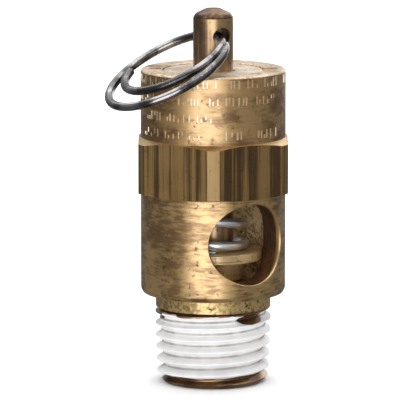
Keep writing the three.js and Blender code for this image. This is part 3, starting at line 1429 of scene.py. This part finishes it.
@dataclass(frozen=True)
class MarkRows:
    """Plain upright strokes struck into the cap in rows, of varied length and spacing."""

    radius: float
    levels: tuple[float, ...] = (36.22, 34.22, 32.24, 30.27)
    stroke: float = 0.2
    tall: float = 1.02
    deep: float = 0.15
    seed: int = 11

    # For each row, the arcs that are struck, in degrees about the axis.
    arcs: tuple[tuple[tuple[float, float], ...], ...] = (
        ((-205.0, -118.0), (-108.0, -62.0), (-48.0, 20.0)),
        ((-205.0, -160.0), (-150.0, -118.0), (-112.0, -58.0), (-40.0, 10.0)),
        ((-185.0, -124.0), (-30.0, 30.0)),
        ((-190.0, -130.0), (-112.0, -98.0), (-84.0, -60.0), (-20.0, 25.0)),
    )

    def cutter(self) -> Shape:
        """Lays out all the strokes.

        Returns:
            One set of tapered bars.
        """
        chance = random.Random(self.seed)
        made: Shape | None = None
        for level, arcs in zip(self.levels, self.arcs):
            for start, end in arcs:
                turn = start
                while turn < end:
                    for _ in range(chance.choice((3, 4, 5, 6))):
                        tall = self.tall * chance.choice((1.0, 1.0, 0.92, 0.62, 0.45))
                        drop = chance.choice((-1, 1)) * (self.tall - tall) / 2
                        wide = self.stroke * chance.uniform(0.8, 1.25)
                        bar = self._stroke(math.radians(turn), level + drop, tall, wide)
                        made = bar if made is None else made.joined(bar)
                        turn += chance.choice((2.6, 3.1, 3.8, 4.6))
                        if turn > end:
                            break
                    turn += chance.uniform(3.0, 6.0)
        return made

    def _stroke(self, turn: float, level: float, tall: float, wide: float) -> Shape:
        """One stroke.

        Args:
            turn: Its angle about the axis.
            level: The height of its middle.
            tall: Its height.
            wide: Its width at the surface.

        Returns:
            A bar that narrows as it goes in.
        """
        mouth = (self.radius + 0.2, wide * 0.85, tall / 2 + 0.06)
        root = (self.radius - self.deep, wide * 0.28, tall / 2 - 0.08)
        points = []
        for radius, half, rise in (mouth, root):
            for side, up in ((-1, -1), (1, -1), (1, 1), (-1, 1)):
                across = side * half
                points.append((radius * math.cos(turn) - across * math.sin(turn),
                               radius * math.sin(turn) + across * math.cos(turn), level + up * rise))
        faces = [(0, 1, 2, 3), (7, 6, 5, 4)]
        faces += [(i, 4 + i, 4 + (i + 1) % 4, (i + 1) % 4) for i in range(4)]
        return Shape(np.array(points), faces)


@dataclass(frozen=True)
class ValveBody:
    """The body turned from hex bar, with its thread, ports, chamber and seat."""

    across_flats: float = 17.457
    hex_turn: float = math.radians(-2)
    corner_cut: float = 0.384
    skin_cut: float = 0.23
    thread: PipeThread = PipeThread()
    neck_length: float = 1.7
    barrel_length: float = 11.9
    hex_length: float = 6.55
    hex_top_slope: float = 0.36
    hex_bottom_slope: float = 0.28
    neck_radius: float = 6.76
    barrel_foot: float = 0.5
    cap_edge_break: float = 0.22
    chamber_radius: float = 5.9
    inlet_radius: float = 3.6
    orifice_radius: float = 2.0
    orifice_length: float = 2.6
    lip_width: float = 0.22
    lip_root: float = 0.42
    lip_height: float = 1.0
    floor_rise: float = 0.95
    port_radius: float = 4.75
    port_rise: float = 6.65
    port_side_break: float = 0.75
    port_end_break: float = 0.08
    plug_fit: float = 0.05
    bore_mouth_break: float = 0.12
    cut_past: float = 1.0
    stake_radius: float = 0.75
    stake_depth: float = 0.6
    stake_turns: tuple[float, ...] = (math.radians(-32), math.radians(148))
    facets: int = 240

    @property
    def barrel_radius(self) -> float:
        """Radius of the barrel and the cap."""
        return self.across_flats / 2 - self.skin_cut

    @property
    def hex_corner(self) -> float:
        """Radius that the hex's corners are turned down to."""
        return self.across_flats / 2 / math.cos(math.pi / 6) - self.corner_cut

    @property
    def stake_ring(self) -> float:
        """Radius of the ring that the punch marks lie on."""
        return high("adjusting_plug").x + self.stake_radius + 2 * self.plug_fit

    @property
    def shoulder(self) -> float:
        """Height of the shoulder over the neck."""
        return self.thread.length + self.neck_length

    @property
    def hex_bottom(self) -> float:
        """Height of the hex's lower end."""
        return self.shoulder + self.barrel_length

    @property
    def hex_top(self) -> float:
        """Height of the hex's upper end."""
        return self.hex_bottom + self.hex_length

    @property
    def cap_top(self) -> float:
        """Height of the cap's rim, from the frame."""
        return high("valve_body").z

    @property
    def port_level(self) -> float:
        """Height of the ports' centre line."""
        return self.shoulder + self.port_rise

    @property
    def chamber_floor(self) -> float:
        """Height of the chamber's floor."""
        return self.shoulder + self.floor_rise

    def outside(self) -> Shape:
        """Turns the outside, from the top of the thread to the rim.

        Returns:
            The solid, without its hex.
        """
        barrel, foot = self.barrel_radius, self.barrel_foot
        outline = [
            (0, self.thread.length - 0.05),
            (self.neck_radius, self.thread.length),
            (self.neck_radius, self.shoulder),
            (barrel - foot / 2, self.shoulder),
            (barrel, self.shoulder + foot),
            (barrel, self.cap_top - self.cap_edge_break),
            (barrel - self.cap_edge_break, self.cap_top),
            (0, self.cap_top),
        ]
        return turned(eased(outline, 0.1), self.facets)

    def hex_band(self) -> Shape:
        """Cuts the plain hex off the bar.

        Returns:
            The hex, its corners still sharp.
        """
        corner = self.across_flats / 2 / math.cos(math.pi / 6)
        turns = [self.hex_turn + math.radians(60 * i) for i in range(6)]
        corners = [(corner * math.cos(turn), corner * math.sin(turn)) for turn in turns]
        return prism(corners, self.hex_bottom, self.hex_top)

    def hex_limit(self) -> Shape:
        """Turns the corners of the hex, with a cone at each end.

        Returns:
            The solid that the hex is kept inside.
        """
        corner = self.hex_corner
        over = corner - self.barrel_radius
        return turned([
            (0, self.hex_bottom),
            (self.barrel_radius, self.hex_bottom),
            (corner, self.hex_bottom + self.hex_bottom_slope * over),
            (corner, self.hex_top - self.hex_top_slope * over),
            (self.barrel_radius, self.hex_top),
            (0, self.hex_top),
        ], self.facets)

    def inside(self) -> Shape:
        """Bores the inlet, the seat's orifice, the chamber and the plug's bore.

        Returns:
            What is taken away, as one solid.
        """
        seat = self.chamber_floor + self.lip_height
        plug_bore = high("adjusting_plug").x + self.plug_fit
        washer_seat = low("spring_washer").z
        narrow = seat - self.orifice_length
        return turned([
            (0, -self.cut_past),
            (self.inlet_radius, -self.cut_past),
            (self.inlet_radius, narrow - (self.inlet_radius - self.orifice_radius) / 2),
            (self.orifice_radius, narrow),
            (self.orifice_radius, seat),
            (self.orifice_radius + self.lip_width, seat),
            (self.orifice_radius + self.lip_root, self.chamber_floor),
            (self.chamber_radius, self.chamber_floor),
            (self.chamber_radius, washer_seat),
            (plug_bore, washer_seat),
            (plug_bore, self.cap_top - self.bore_mouth_break),
            (plug_bore + self.bore_mouth_break, self.cap_top),
            (plug_bore + self.bore_mouth_break, self.cap_top + self.cut_past),
            (0, self.cap_top + self.cut_past),
        ], 144)

    def stakes(self) -> list[Shape]:
        """Points the punches that locked the plug.

        Returns:
            One cone for each punch mark.
        """
        deep = self.stake_depth
        made = []
        for turn in self.stake_turns:
            cone = turned([(0, -deep), (2 * self.stake_radius, deep), (0, deep)], 24)
            x, y = self.stake_ring * math.cos(turn), self.stake_ring * math.sin(turn)
            made.append(cone.moved(lambda points, x=x, y=y: points + np.array((x, y, self.cap_top))))
        return made

    def shank(self) -> Shape:
        """Threads the shank, as a sleeve round the inlet bore.

        Returns:
            The sleeve, which runs a little way up inside the neck.
        """
        top = self.thread.length + 0.2
        inside_neck = self.neck_radius - 0.1

        def outer(turn: np.ndarray, height: np.ndarray) -> np.ndarray:
            """The thread's surface, kept under the neck's."""
            radius = self.thread.radius(turn, height)
            return np.where(height > self.thread.length + 0.02, np.minimum(radius, inside_neck), radius)

        def inner(turn: np.ndarray, height: np.ndarray) -> np.ndarray:
            """A little inside the inlet bore, which is cut later."""
            return np.full_like(turn, self.inlet_radius - 0.4)

        return self.thread.wrapped(outer, inner, 0.0, top)

    def mesh(self) -> bpy.types.Mesh:
        """Builds and cuts the whole body.

        Returns:
            The finished mesh.
        """
        steps = [(Cut.KEEP, self.hex_limit()), (Cut.ADD, self.outside())]
        ports = cross_rod(self.port_radius, self.barrel_radius + 1, self.port_level, math.pi / 2, 120)
        steps.append((Cut.TAKE, ports))
        for turn in (-math.pi / 2, math.pi / 2):
            mouth = HoleMouth(
                wall_radius=self.barrel_radius,
                hole_radius=self.port_radius,
                side_width=self.port_side_break,
                end_width=self.port_end_break,
                height=self.port_level,
                turn=turn,
            )
            steps.append((Cut.TAKE, mouth.cutter()))
        steps.append((Cut.TAKE, MarkRows(self.barrel_radius).cutter()))
        steps.append((Cut.ADD, self.shank()))
        steps.append((Cut.TAKE, self.inside()))
        steps.extend((Cut.TAKE, stake) for stake in self.stakes())
        return worked("valve_body_fine", self.hex_band(), steps)

    def zones(self, mesh: bpy.types.Mesh) -> np.ndarray:
        """Tells the finish of each face from where it is; a later test overrules an earlier one.

        Args:
            mesh: The body's mesh.

        Returns:
            A zone number for each face.
        """
        centre, normal = face_table(mesh)
        x, y, z = centre.T
        radius = np.hypot(x, y)
        radial = (normal[:, 0] * x + normal[:, 1] * y) / np.maximum(radius, 1e-6)
        barrel = self.barrel_radius
        zone = np.full(len(centre), Zone.BARREL.value)
        zone[z > self.hex_top - 0.02] = Zone.CAP.value
        hexed = (z > self.hex_bottom - 0.01) & (z < self.hex_top + 0.01) & (radius > barrel + 0.01)
        zone[hexed] = Zone.HEX.value
        zone[hexed & (radius > self.hex_corner - 0.06)] = Zone.CORNER.value
        zone[hexed & (np.abs(normal[:, 2]) > 0.2)] = Zone.EDGE.value
        struck = (z > self.hex_top + 0.2) & (z < self.cap_top - 0.3) & (radius < barrel - 0.02)
        zone[struck & (radius > barrel - 0.25)] = Zone.MARK.value
        zone[(z > self.cap_top - 0.45) & (normal[:, 2] > 0.5)] = Zone.RIM.value
        zone[z < self.shoulder - 0.01] = Zone.NECK.value
        zone[z < self.thread.length] = Zone.THREAD.value
        within = (radius < self.chamber_radius + 0.2) & (z > self.thread.length) & (z < self.cap_top - 0.5)
        inward = (radial < -0.2) | (np.abs(normal[:, 2]) > 0.3)
        zone[within & inward] = Zone.BORE.value
        # The cross holes' walls take the dark port finish: painted shade inside the holes.
        ported = np.hypot(x, z - self.port_level)
        wall = (np.abs(ported - self.port_radius) < 0.03) & (np.abs(y) > 3)
        zone[wall] = Zone.PORT.value
        # The punch marks take the dark port finish: painted shade in their hollows.
        under_rim = (z < self.cap_top - 0.03) & (z > self.cap_top - 1)
        for turn in self.stake_turns:
            mark_x, mark_y = self.stake_ring * math.cos(turn), self.stake_ring * math.sin(turn)
            staked = np.hypot(x - mark_x, y - mark_y) < self.stake_radius
            zone[staked & under_rim] = Zone.PORT.value
        mouth = (ported > self.port_radius + 0.001) & (ported < self.port_radius + 0.6)
        zone[mouth & (radius < barrel - 0.015) & (radius > barrel - 0.6)] = Zone.EDGE.value
        return zone

    def build(self) -> bpy.types.Object:
        """Makes the body's piece, with its finishes in the order of the zones.

        Returns:
            The piece.
        """
        finish_of = {
            Zone.BARREL: BARREL,
            Zone.CAP: CAP,
            Zone.HEX: HEX_SKIN,
            Zone.EDGE: EDGE,
            Zone.RIM: RIM,
            Zone.NECK: NECK,
            Zone.THREAD: THREAD,
            Zone.BORE: BORE,
            Zone.PORT: PORT_AND_STAKE_SHADE,
            Zone.MARK: MARK,
            Zone.CORNER: HEX_CORNER,
        }
        mesh = self.mesh()
        finishes = [finish_of[zone] for zone in Zone]
        zones = self.zones(mesh)
        return shown("valve_body_fine", mesh, "valve", "valve_body", finishes, zones)


@dataclass(frozen=True)
class ThreadSealant:
    """The dried white coat on the inlet thread."""

    coat: SealantCoat = SealantCoat()

    def build(self) -> bpy.types.Object:
        """Makes the coat's piece."""
        mesh = self.coat.shape().mesh("thread_sealant_coat")
        return shown("thread_sealant_coat", mesh, "valve", "thread_sealant", (SEALANT,))


# ---------------------------------------------------------------- plug, washer and spring


@dataclass(frozen=True)
class AdjustingPlug:
    """The plug that loads the spring, with the stem's hole through it, and the washer under it."""

    chamfer: float = 0.25
    hole_clearance: float = 0.08
    washer_hole_clearance: float = 0.16
    stem_radius: float = 2.35
    dish: float = 0.03
    hole_break: float = 0.18
    hole_break_depth: float = 0.16

    def build(self) -> list[bpy.types.Object]:
        """Makes the plug and the washer.

        Returns:
            The two pieces.
        """
        bottom, top = low("adjusting_plug").z, high("adjusting_plug").z
        radius, hole = high("adjusting_plug").x, self.stem_radius + self.hole_clearance
        outline = [
            (hole, bottom),
            (radius - self.chamfer, bottom),
            (radius, bottom + self.chamfer),
            (radius, top - self.chamfer),
            (radius - self.chamfer, top),
            (0.6 * radius + 0.4 * hole, top - self.dish),
            (hole + self.hole_break, top - self.dish),
            (hole, top - self.dish - self.hole_break_depth),
        ]
        plug = turned(eased(outline, 0.06), 144).mesh("adjusting_plug_fine")
        washer = self._washer().mesh("spring_washer_fine")
        return [
            shown("adjusting_plug_fine", plug, "valve", "adjusting_plug", (PLUG,)),
            shown("spring_washer_fine", washer, "valve", "spring_washer", (STEEL,)),
        ]

    def _washer(self) -> Shape:
        """Presses the washer, which eases its edges.

        Returns:
            The washer.
        """
        bottom, top = low("spring_washer").z, high("spring_washer").z
        outer, inner = high("spring_washer").x, self.stem_radius + self.washer_hole_clearance
        return turned(eased([(inner, bottom), (outer, bottom), (outer, top), (inner, top)], 0.12), 120)


@dataclass(frozen=True)
class LoadSpring:
    """The left-hand compression spring with closed ends ground flat."""

    wire: float = 1.1
    inner_radius: float = 3.2
    active_turns: float = 5.4
    closed_pitch: float = 1.1
    end_grind: float = 0.35
    start_turn: float = math.radians(-117)
    blend_steps: int = 9
    steps_per_turn: int = 32
    sides: int = 16

    def path(self) -> np.ndarray:
        """Winds the wire: a closed turn at each end, with the active turns between.

        Returns:
            The wire's centre line.
        """
        bottom, top = low("spring").z - self.end_grind, high("spring").z + self.end_grind
        span = top - bottom
        turns = self.active_turns + 2
        at = np.linspace(0, turns, int(turns * self.steps_per_turn) + 1)
        rise = (span - 2 * self.closed_pitch) / self.active_turns
        height = np.where(at < 1, at * self.closed_pitch, self.closed_pitch + rise * (at - 1))
        height = np.where(at > 1 + self.active_turns, span - (turns - at) * self.closed_pitch, height)
        padded = np.pad(height, self.blend_steps // 2, mode="reflect", reflect_type="odd")
        smooth = np.convolve(padded, np.full(self.blend_steps, 1 / self.blend_steps), "valid")
        angle = self.start_turn - 2 * math.pi * at
        radius = self.inner_radius + self.wire / 2
        return np.stack([radius * np.cos(angle), radius * np.sin(angle), bottom + smooth], axis=1)

    def build(self) -> bpy.types.Object:
        """Makes the spring; the disc's travel is worked out but nothing shortens the spring.

        Returns:
            The piece.
        """
        bottom, top = low("spring").z, high("spring").z
        coil = tube(self.path(), self.wire / 2, self.sides, np.array((0.0, 0.0, 1.0)))

        def ground(points: np.ndarray) -> np.ndarray:
            """Grinds the two ends flat.

            Args:
                points: The coil's points.

            Returns:
                The points between the two ground faces.
            """
            made = points.copy()
            made[:, 2] = np.clip(made[:, 2], bottom, top)
            return made

        mesh = coil.moved(ground).mesh("load_spring_fine")
        piece = shown("load_spring_fine", mesh, "valve", "spring", (ZINC,))
        lift = next(joint for joint in frame["joints"] if joint["name"] == "disc_lift")
        travel = max(lift["range_m"]) / MM
        keep = (top - bottom - travel) / (top - bottom)
        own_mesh(piece)
        return piece


# ---------------------------------------------------------------- disc


@dataclass(frozen=True)
class Disc:
    """The disc that closes the seat: its holder, its rubber seal and the ring that keeps it."""

    stem_radius: float = 2.35
    running_fit: float = 0.08
    fit: float = 0.05
    pocket_radius: float = 3.1
    boss_wall: float = 0.4
    boss_flare: float = 0.4
    boss_height: float = 2.35
    flange_thickness: float = 1.15
    register_radius: float = 3.12
    register_height: float = 0.45
    head_top: float = 14.2
    retainer_width: float = 0.45

    def holder(self) -> Shape:
        """Turns the holder: a guide flange over a tapered boss.

        Returns:
            The holder.
        """
        tip = low("disc_holder").z
        under = tip + self.boss_height
        over = under + self.flange_thickness
        guide = high("disc_holder").x
        hole = self.stem_radius + self.running_fit
        boss = self.pocket_radius + self.boss_wall
        outline = [
            (self.pocket_radius, tip),
            (boss, tip),
            (boss + self.boss_flare, under - 0.12),
            (boss + self.boss_flare + 0.12, under),
            (guide - 0.1, under),
            (guide, under + 0.1),
            (guide, over - 0.12),
            (guide - 0.12, over),
            (self.register_radius + 0.08, over),
            (self.register_radius, over + 0.08),
            (self.register_radius, over + self.register_height),
            (hole, over + self.register_height),
            (hole, self.head_top + self.fit),
            (self.pocket_radius, self.head_top + self.fit),
        ]
        return turned(eased(outline, 0.05), 144)

    def build(self) -> list[bpy.types.Object]:
        """Makes the holder, the seal and the retainer.

        Returns:
            The three pieces.
        """
        outer = self.pocket_radius - self.fit
        inner = outer - self.retainer_width
        seal = self._flat_ring("seat_seal", 0, outer, 0.08)
        retainer = self._flat_ring("seal_retainer", inner, outer, 0.06)
        holder = self.holder().mesh("disc_holder_fine")
        return [
            shown("disc_holder_fine", holder, "disc", "disc_holder", (DISC,)),
            shown("seat_seal_fine", seal, "disc", "seat_seal", (RUBBER,)),
            shown("seal_retainer_fine", retainer, "disc", "seal_retainer", (DISC,)),
        ]

    def _flat_ring(self, node: str, inner: float, outer: float, ease: float) -> bpy.types.Mesh:
        """Makes a flat disc or ring between the heights of its CAD node.

        Args:
            node: The CAD node that it stands for.
            inner: The radius of its hole, or 0 for none.
            outer: Its radius.
            ease: How much its edges are broken.

        Returns:
            Its mesh.
        """
        bottom, top = low(node).z, high(node).z
        outline = [(inner, bottom), (outer, bottom), (outer, top), (inner, top)]
        return turned(eased(outline, ease), 96).mesh(node + "_fine")


# ---------------------------------------------------------------- stem and pull ring


@dataclass(frozen=True)
class TestStem:
    """The pull stem with its crown, its head under the disc and the eye for the ring."""

    radius: float = 2.35
    crown_height: float = 1.05
    crown_flat: float = 0.85
    shoulder_round: float = 0.3
    head_step: float = 0.6
    head_height: float = 0.65
    eye_radius: float = 1.1
    eye_drop: float = 3.2
    eye_turn: float = math.radians(-93.5)

    def build(self) -> bpy.types.Object:
        """Turns the stem, drills its eye and breaks the eye's edges.

        Returns:
            The piece.
        """
        bottom, top = low("stem").z, high("stem").z
        head = self.radius + self.head_step
        eased_in = self.radius - self.shoulder_round
        outline = [
            (0, bottom),
            (head, bottom),
            (head, bottom + self.head_height),
            (self.radius, bottom + self.head_height),
            (self.radius, top - self.crown_height),
            (eased_in, top - self.crown_height + 1.5 * self.shoulder_round),
            (self.crown_flat, top),
            (0, top),
        ]
        eye = top - self.eye_drop
        steps = [(Cut.TAKE, cross_rod(self.eye_radius, self.radius + 1, eye, self.eye_turn, 64))]
        for turn in (self.eye_turn, self.eye_turn + math.pi):
            mouth = HoleMouth(
                wall_radius=self.radius,
                hole_radius=self.eye_radius,
                side_width=0.14,
                end_width=0.05,
                height=eye,
                turn=turn,
                overshoot=0.3,
                facets=64,
            )
            steps.append((Cut.TAKE, mouth.cutter()))
        mesh = worked("test_stem_fine", turned(eased(outline, 0.14), 120), steps)
        centre, normal = face_table(mesh)
        crowned = (centre[:, 2] > top - self.crown_height - 0.1) & (normal[:, 2] > 0.25)
        finishes, zones = (STEM, CROWN), crowned.astype(int)
        return shown("test_stem_fine", mesh, "stem", "stem", finishes, zones)


@dataclass(frozen=True)
class PullRing:
    """The pull ring: a loose spiral of tempered wire through the stem's eye."""

    wire: float = 0.996
    inner_turn: float = 6.2
    outer_turn: float = 7.77
    inner_sweep: float = math.radians(240)
    outer_sweep: float = math.radians(334)
    growth: tuple[float, float] = (-0.3, 4.2)
    sag: float = 0.55
    bow: float = 0.15
    eye_drop: float = 3.2
    eye_turn: float = math.radians(-93.5)
    droop: float = math.radians(28.28)
    steps: int = 360
    sides: int = 20

    @property
    def along(self) -> np.ndarray:
        """Direction of the eye."""
        return np.array((math.cos(self.eye_turn), math.sin(self.eye_turn), 0.0))

    @property
    def out(self) -> np.ndarray:
        """Direction from the eye to the middle of the ring, which droops from level."""
        level = math.cos(self.droop)
        return np.array((self.along[1] * level, -self.along[0] * level, -math.sin(self.droop)))

    @property
    def down(self) -> np.ndarray:
        """Direction square to the ring's plane."""
        return np.cross(self.along, self.out)

    def path(self) -> np.ndarray:
        """Winds the wire from its inner end through the eye to its outer end.

        Returns:
            The wire's centre line.
        """
        sweep = np.linspace(-self.inner_sweep, self.outer_sweep, self.steps)

        def smooth(start: float, end: float) -> np.ndarray:
            """Eased share of the sweep between two values."""
            share = np.clip((sweep - start) / (end - start), 0, 1)
            return share * share * (3 - 2 * share)

        radius = self.inner_turn + (self.outer_turn - self.inner_turn) * smooth(*self.growth)
        drop = self.sag * smooth(0, self.outer_sweep)
        eye = np.array((0, 0, high("stem").z - self.eye_drop))
        outward = np.outer(radius * (1 - np.cos(sweep)) - self.bow, self.out)
        sideways = np.outer(radius * np.sin(sweep), self.along)
        return eye + outward - sideways + np.outer(drop, self.down)

    def build(self) -> bpy.types.Object:
        """Makes the ring's piece."""
        mesh = tube(self.path(), self.wire / 2, self.sides, self.down).mesh("pull_ring_fine")
        return shown("pull_ring_fine", mesh, "ring", "pull_ring", (TEMPERED,))


# ---------------------------------------------------------------- studio


@dataclass(frozen=True)
class Softbox:
    """One soft light; its place is in degrees from the camera's azimuth and in millimetres."""

    name: str
    turn: float
    rise: float
    away: float
    width: float
    height: float
    radiance: float

    @property
    def power(self) -> float:
        """Watts that give the face its radiance."""
        return self.radiance * math.pi * self.width * self.height * MM * MM


@dataclass(frozen=True)
class Studio:
    """Camera, floor and soft light."""

    azimuth: float = math.radians(-32)
    elevation: float = math.radians(9.2)
    distance: float = 490.0
    target_height: float = 21.5
    target_shift: float = -1.54
    lens: float = 375.0
    floor_radius: float = 3000.0
    floor_gap: float = 0.01
    low_light: float = 0.16
    sky_light: float = 0.42
    front_light: float = 0.09
    boxes: tuple[Softbox, ...] = (
        Softbox("front_light", turn=-11, rise=-2, away=700, width=660, height=620, radiance=2.7),
        Softbox("overhead_light", turn=178, rise=78, away=1300, width=2400, height=2400, radiance=2.1),
        Softbox("rear_light", turn=158, rise=14, away=900, width=380, height=620, radiance=1.2),
    )

    @staticmethod
    def _direction(azimuth: float, elevation: float) -> Vector:
        """Direction from the valve to a place round it."""
        level = math.cos(elevation)
        return Vector((math.sin(azimuth) * level, -math.cos(azimuth) * level, math.sin(elevation)))

    def camera(self) -> None:
        """Makes the scene's camera."""
        facing = self._direction(self.azimuth, self.elevation)
        right = Vector((math.cos(self.azimuth), math.sin(self.azimuth), 0))
        target = Vector((0, 0, self.target_height)) + right * self.target_shift
        data = bpy.data.cameras.new("camera")
        data.lens, data.sensor_width = self.lens, 36.0
        data.clip_start, data.clip_end = 0.01, 20.0
        made = bpy.data.objects.new("camera", data)
        made.location = (target + facing * self.distance) * MM
        made.rotation_mode = "QUATERNION"
        made.rotation_quaternion = (-facing).to_track_quat("-Z", "Y")
        bpy.context.scene.collection.objects.link(made)
        bpy.context.scene.camera = made

    def floor(self) -> None:
        """Makes the plain pale floor, which stays out of the metal's reflections."""
        turns = np.linspace(0, 2 * math.pi, 96, endpoint=False)
        radius = self.floor_radius * MM
        ring = [(radius * math.cos(turn), radius * math.sin(turn), 0.0) for turn in turns]
        mesh = bpy.data.meshes.new("studio_floor")
        mesh.from_pydata(ring, [], [tuple(range(len(ring)))])
        mesh.materials.append(Paper().material())
        made = bpy.data.objects.new("studio_floor", mesh)
        made.location.z = (low("valve_body").z - self.floor_gap) * MM
        made.visible_glossy = False
        made.visible_shadow = False
        bpy.context.scene.collection.objects.link(made)

    def _hang(self, box: Softbox) -> None:
        """Makes one soft light that faces the valve.

        Args:
            box: The light's place, size and brightness.
        """
        data = bpy.data.lights.new(box.name, "AREA")
        data.shape = "RECTANGLE"
        data.size, data.size_y = box.width * MM, box.height * MM
        data.energy = box.power
        facing = self._direction(self.azimuth + math.radians(box.turn), math.radians(box.rise))
        made = bpy.data.objects.new(box.name, data)
        made.location = (Vector((0, 0, self.target_height)) + facing * box.away) * MM
        made.rotation_mode = "QUATERNION"
        made.rotation_quaternion = (-facing).to_track_quat("-Z", "Y")
        made.visible_camera = False
        bpy.context.scene.collection.objects.link(made)

    def lights(self) -> None:
        """Makes the soft lights: one from the camera's side, one overhead and a weak one behind."""
        for box in self.boxes:
            self._hang(box)

    def world(self) -> None:
        """Lights the surroundings: brighter on the camera's side."""
        world = bpy.data.worlds.new("studio")
        world.use_nodes = True
        bpy.context.scene.world = world
        graph = Graph(world.node_tree)
        direction = graph.node("ShaderNodeTexCoord").outputs["Generated"]
        front = self._direction(self.azimuth, 0.0)
        made = graph.node("ShaderNodeVectorMath", {0: direction, 1: tuple(front)}, operation="DOT_PRODUCT")
        facing = Signal(graph, made.outputs["Value"]).between(-0.3, 0.9)
        above = graph.component(direction, "Z").between(-0.05, 0.25)
        strength = self.low_light + above * (self.sky_light - self.low_light) + facing * self.front_light
        shader = graph.node("ShaderNodeBackground", {"Color": (0.97, 0.98, 1.0, 1.0), "Strength": strength})
        graph.node("ShaderNodeOutputWorld", {"Surface": shader.outputs[0]})

    def build(self) -> None:
        """Sets the studio up."""
        self.camera()
        self.floor()
        self.lights()
        self.world()
        view = bpy.context.scene.view_settings
        view.view_transform = "Standard"
        view.look = "None"
        LOG.info("studio: camera, floor and lights are set")


def main() -> None:
    """Builds the studio and every piece, in order."""
    logging.basicConfig(level=logging.INFO, format="%(name)s: %(message)s")
    Studio().build()
    assemblies = (ValveBody, ThreadSealant, AdjustingPlug, LoadSpring, Disc, TestStem, PullRing)
    for assembly in assemblies:
        assembly().build()


if __name__ == "__main__":
    main()
